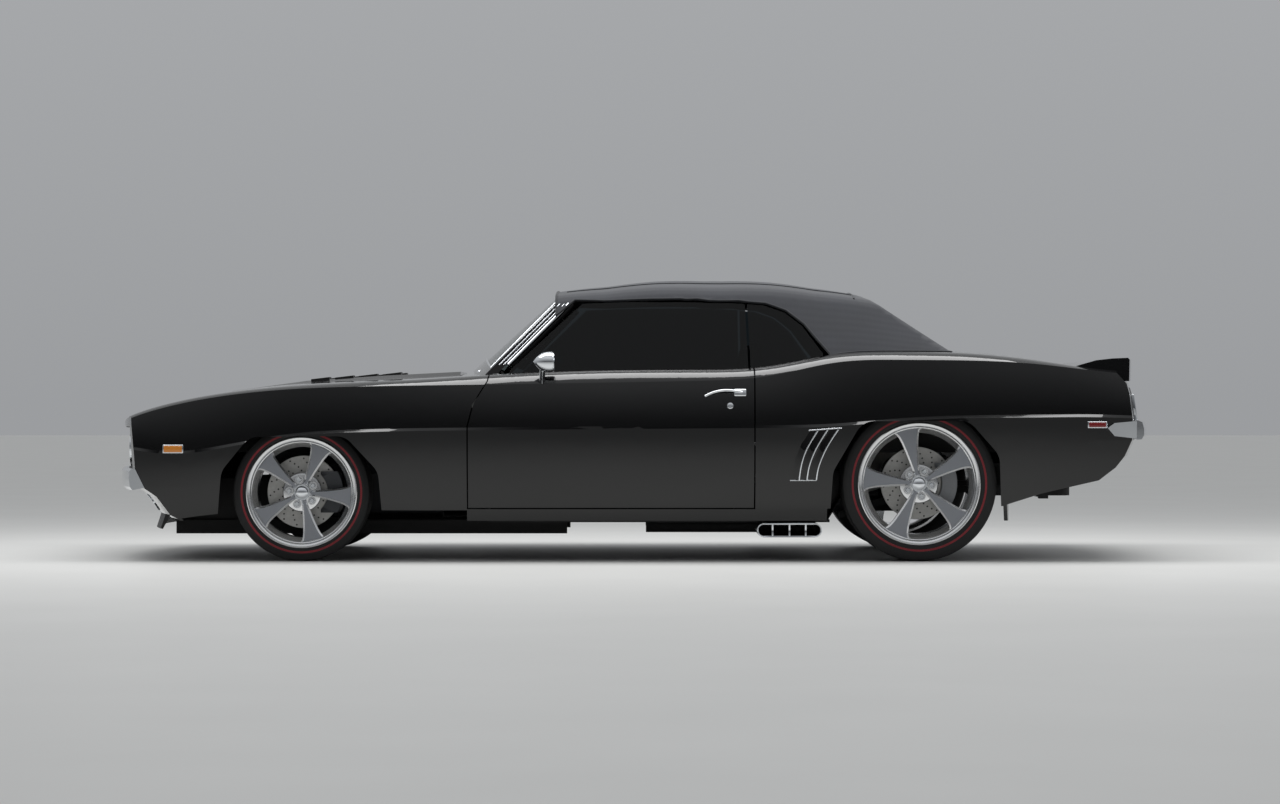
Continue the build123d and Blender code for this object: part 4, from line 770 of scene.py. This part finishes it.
# Wipers at the foot of the screen
WIPERS = [((-0.690, -0.500), (-0.612, -0.160)), ((-0.690, 0.080), (-0.612, 0.420))]
WIPER_STEPS, WIPER_WIDE, WIPER_LIFT, WIPER_ARCH = (0, 0.25, 0.5, 0.75, 1), 0.008, 0.010, 0.012
COWL_Z = 0.842


def cowl_hit(x, y):
    """Point and normal where an upright line meets the cowl from above."""
    hit, place, normal, _ = NODES["cowl"].ray_cast(Vector((x, y, CLEAR_TOP)), -UP)
    return (place, normal) if hit else (Vector((x, y, COWL_Z)), UP)


for k, (pivot, tip) in enumerate(WIPERS):
    points = []
    for t in WIPER_STEPS:
        x, y = (a + (b - a) * t for a, b in zip(pivot, tip))
        points.append(cowl_hit(x, y)[0] + UP * (WIPER_LIFT + WIPER_ARCH * math.sin(math.pi * t)))
    tube(f"wiper_arm_{k + 1}", points, WIPER_WIDE, TRIM, "car_body")
    at, normal = cowl_hit(*pivot)
    bm = bmesh.new()
    cap = [(-0.004, 0), (-0.004, 0.018), (0.010, 0.016), (0.016, 0.011), (0.018, 0)]
    spun(bm, cap, at, normal, normal.cross(Y_AXIS), 0, False, 32)
    make_piece(f"wiper_pivot_{k + 1}", bm, [CHROME], "car_body")

# Steering wheel: leather rim, metal spokes
COLUMN_FOOT, COLUMN_AXIS = Vector((-0.440, -0.370, 0.602)), Vector((0.9, 0, 0.436)).normalized()
RIM_INSIDE = 0.160
bm = copy_of("steering_wheel")
for f in bm.faces:
    spot = f.calc_center_median() - COLUMN_FOOT
    f.material_index = 0 if (spot - COLUMN_AXIS * spot.dot(COLUMN_AXIS)).length > RIM_INSIDE else 1
piece = make_piece("steering_wheel_dressed", bm, [LEATHER, SATIN], "hand_wheel")
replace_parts(piece, "steering_wheel")

# Leather pads: the block solids rounded, drawn in along sewn channels
CHANNEL_PITCH, CHANNEL_HALF, CHANNEL_DEEP, CHANNEL_REACH, CHANNEL_TOP = 0.075, 0.012, 0.007, 0.17, 0.84
FACING_FRONT, PAD_VOXEL, PAD_ROUNDS, PAD_SOFTEN = 0.3, 0.010, 14, 0.5
PADS = [("front_seats", "front_seat_pads", 0.405), ("rear_seat", "rear_seat_pads", 0.28)]
for node, pads, middle in PADS:
    piece = make_piece(pads, copy_of(node), [LEATHER], "car_body")
    remesh = piece.modifiers.new("even_skin", "REMESH")
    remesh.mode = "VOXEL"
    remesh.voxel_size = PAD_VOXEL
    soften = piece.modifiers.new("soften", "SMOOTH")
    soften.iterations = PAD_ROUNDS
    soften.factor = PAD_SOFTEN
    mesh = evaluated(piece)
    piece.modifiers.clear()
    outward_of = [v.normal.copy() for v in mesh.vertices]
    for v, normal in zip(mesh.vertices, outward_of):
        across = abs(abs(v.co.y) - middle)
        from_seam = abs((across + CHANNEL_PITCH / 2) % CHANNEL_PITCH - CHANNEL_PITCH / 2)
        groove = max(0.0, 1 - from_seam / CHANNEL_HALF)
        if across < CHANNEL_REACH and normal.x < FACING_FRONT and v.co.z < CHANNEL_TOP:
            v.co -= normal * CHANNEL_DEEP * groove
    piece.data = mesh
    mesh.materials.clear()
    mesh.materials.append(LEATHER)
    mesh.shade_smooth()
    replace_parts(piece, node)

# Soft top: one sheet from the solid's outer skin, drawn over its bows, bound along every edge
BOWS, BOW_DIP, BOW_REACH = (-0.34, 0.10, 0.62, 1.03), 0.006, 0.22
CLOTH_THICK, CLOTH_FLAT, CLOTH_AREA = 0.004, (1.87, 1.89), 2.31
SEAM_Y, SEAM_X, SEAM_A_METRE, SEAM_LIFT = 0.40, 1.0, 20, 0.0005
SEAM_WIDE, BINDING_WIDE = 0.008, 0.011
CABIN_FRONT, CABIN_REAR, CABIN_Z = -0.30, 0.90, 0.80
FACING_OUT, FACING_UP, EDGE_LONG, EDGE_SPLITS = 0.3, 0.6, 0.05, 4
SMALL_HOLE, SHORT_LOOP, DIP_POWER, MATCH_DIGITS = 40, 12, 1.5, 6


def outward(place):
    """Direction away from the middle of the cabin."""
    middle = Vector((min(max(place.x, CABIN_FRONT), CABIN_REAR), 0, CABIN_Z))
    return (place - middle).normalized()


def match_key(place):
    """Point rounded for matching."""
    return tuple(round(c, MATCH_DIGITS) for c in place)


def edge_loops(bm):
    """Open edges of a sheet as ordered lists of points."""
    left = dict.fromkeys(e for e in bm.edges if e.is_boundary)
    loops = []
    while left:
        edge = next(iter(left))
        del left[edge]
        chain = [edge.verts[0], edge.verts[1]]
        while True:
            onward = next((e for e in chain[-1].link_edges if e in left), None)
            if onward is None:
                break
            del left[onward]
            chain.append(onward.other_vert(chain[-1]))
        loops.append([v.co.copy() for v in (chain[:-1] if chain[0] is chain[-1] else chain)])
    return loops


bm = copy_of("soft_top")
inner = [f for f in bm.faces if f.normal.dot(outward(f.calc_center_median())) < FACING_OUT]
bmesh.ops.delete(bm, geom=inner, context="FACES")
for _ in range(EDGE_SPLITS):
    long_edges = [e for e in bm.edges if e.calc_length() > EDGE_LONG]
    bmesh.ops.subdivide_edges(bm, edges=long_edges, cuts=1)
    bmesh.ops.triangulate(bm, faces=[f for f in bm.faces if len(f.verts) > 4])
for loop in edge_loops(bm):
    if len(loop) < SMALL_HOLE:
        corners = {match_key(point) for point in loop}
        rim = [e for e in bm.edges if e.is_boundary and all(match_key(v.co) in corners for v in e.verts)]
        bmesh.ops.holes_fill(bm, edges=rim, sides=0)
bmesh.ops.triangulate(bm, faces=[f for f in bm.faces if len(f.verts) > 4])
bm.normal_update()
for v in bm.verts:
    if v.normal.z > FACING_UP and v.co.x < BOWS[-1]:
        away = min(abs(v.co.x - bow) for bow in BOWS)
        v.co.z -= BOW_DIP * min(1.0, away / BOW_REACH) ** DIP_POWER
cloth_tree = BVHTree.FromBMesh(bm)
cloth_edges = [loop for loop in edge_loops(bm) if len(loop) > SHORT_LOOP]
top = make_piece("soft_top_cloth", bm, [CANVAS], "car_body", 40)
uses = Counter(key for polygon in top.data.polygons for key in polygon.edge_keys)
for edge in top.data.edges:
    if uses[edge.key] == 1:
        edge.use_edge_sharp = True
wall = top.modifiers.new("cloth_thickness", "SOLIDIFY")
wall.thickness = CLOTH_THICK
wall.offset = -1
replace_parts(top, "soft_top")
for k, loop in enumerate(cloth_edges):
    tube(f"top_binding_{k + 1}", loop, BINDING_WIDE, BINDING, "car_body",
                      cyclic=True, smooth=False)
seams = {}
for side_name, side in SIDES.items():
    seams[f"top_seam_{side_name}"] = [(x / SEAM_A_METRE, side * SEAM_Y) for x in range(-6, 21)]
seams["top_seam_rear_bow"] = [(SEAM_X, y / SEAM_A_METRE) for y in range(-11, 12)]
for name, path in seams.items():
    points = []
    for x, y in path:
        at, normal, _, _ = cloth_tree.ray_cast(Vector((x, y, CLEAR_TOP)), -UP)
        points.append(at + normal * SEAM_LIFT)
    tube(name, points, SEAM_WIDE, BINDING, "car_body")

# Camera: level, from the driver's side, as far as the photograph's flat view tells
CAMERA_AT, SENSOR_MM, LENS_MM, FAR_CLIP = (0.033, -16.87, 0.707), 36, 101.44, 300
camera = bpy.data.objects.new("camera", bpy.data.cameras.new("camera"))
bpy.context.scene.collection.objects.link(camera)
camera.location = CAMERA_AT
camera.rotation_euler = (math.pi / 2, 0, 0)
camera.data.sensor_width = SENSOR_MM
camera.data.lens = LENS_MM
camera.data.clip_end = FAR_CLIP
bpy.context.scene.camera = camera

# Pale floor
FLOOR_SIZE = 60.0
FLOOR, tree, shader = new_material("pale_floor", "#c6c6c4", 0.5)
mottled(tree, shader, 700, "#c2c2c0", "#cacac8")
bm = bmesh.new()
bmesh.ops.create_grid(bm, x_segments=1, y_segments=1, size=FLOOR_SIZE)
floor_mesh = bpy.data.meshes.new("floor")
bm.to_mesh(floor_mesh)
bm.free()
floor_mesh.materials.append(FLOOR)
floor = bpy.data.objects.new("floor", floor_mesh)
bpy.context.scene.collection.objects.link(floor)

# Studio: bright overhead, pale behind the car, dim beside the camera so that the black sides stay deep
HORIZON, ZENITH, ZENITH_FROM = "#b4b6b9", "#f4f6f8", 0.7
DIM_SIDE, DIM_FULL, DIM_END, STUDIO_LEVEL = 0.20, -0.85, 0.1, 0.72
world = bpy.data.worlds.new("studio")
bpy.context.scene.world = world
world.use_nodes = True
sky = world.node_tree
sky.nodes["Background"].inputs["Strength"].default_value = STUDIO_LEVEL
coords = add_node(sky, "ShaderNodeTexCoord").outputs["Generated"]
direction = add_node(sky, "ShaderNodeSeparateXYZ", {0: coords}).outputs
lift = add_node(sky, "ShaderNodeMapRange",
                {"Value": direction["Z"], "From Min": 0.0, "From Max": ZENITH_FROM}).outputs["Result"]
tint = add_node(sky, "ShaderNodeMix", {"Factor": lift, "A": linear(HORIZON), "B": linear(ZENITH)},
                data_type="RGBA")
near = add_node(sky, "ShaderNodeMapRange",
                {"Value": direction["Y"], "From Min": DIM_FULL, "From Max": DIM_END,
                 "To Min": DIM_SIDE, "To Max": 1.0})
level = add_node(sky, "ShaderNodeMix", {"Factor": lift, "A": near.outputs["Result"], "B": 1.0},
                 data_type="FLOAT")
shade = add_node(sky, "ShaderNodeVectorMath",
                 {0: tint.outputs["Result"], "Scale": level.outputs["Result"]}, operation="SCALE")
sky.links.new(shade.outputs["Vector"], sky.nodes["Background"].inputs["Color"])

LIGHTS = [("overhead_softbox", (0, -0.3, 4.0), (0, 0, 0), (7.6, 2.0), 270)]
for name, place, turn, size, power in LIGHTS:
    lamp = bpy.data.lights.new(name, "AREA")
    lamp.shape = "RECTANGLE"
    lamp.size, lamp.size_y = size
    lamp.energy = power
    holder = bpy.data.objects.new(name, lamp)
    holder.location = place
    holder.rotation_euler = turn
    bpy.context.scene.collection.objects.link(holder)

bpy.context.scene.view_settings.view_transform = "Standard"
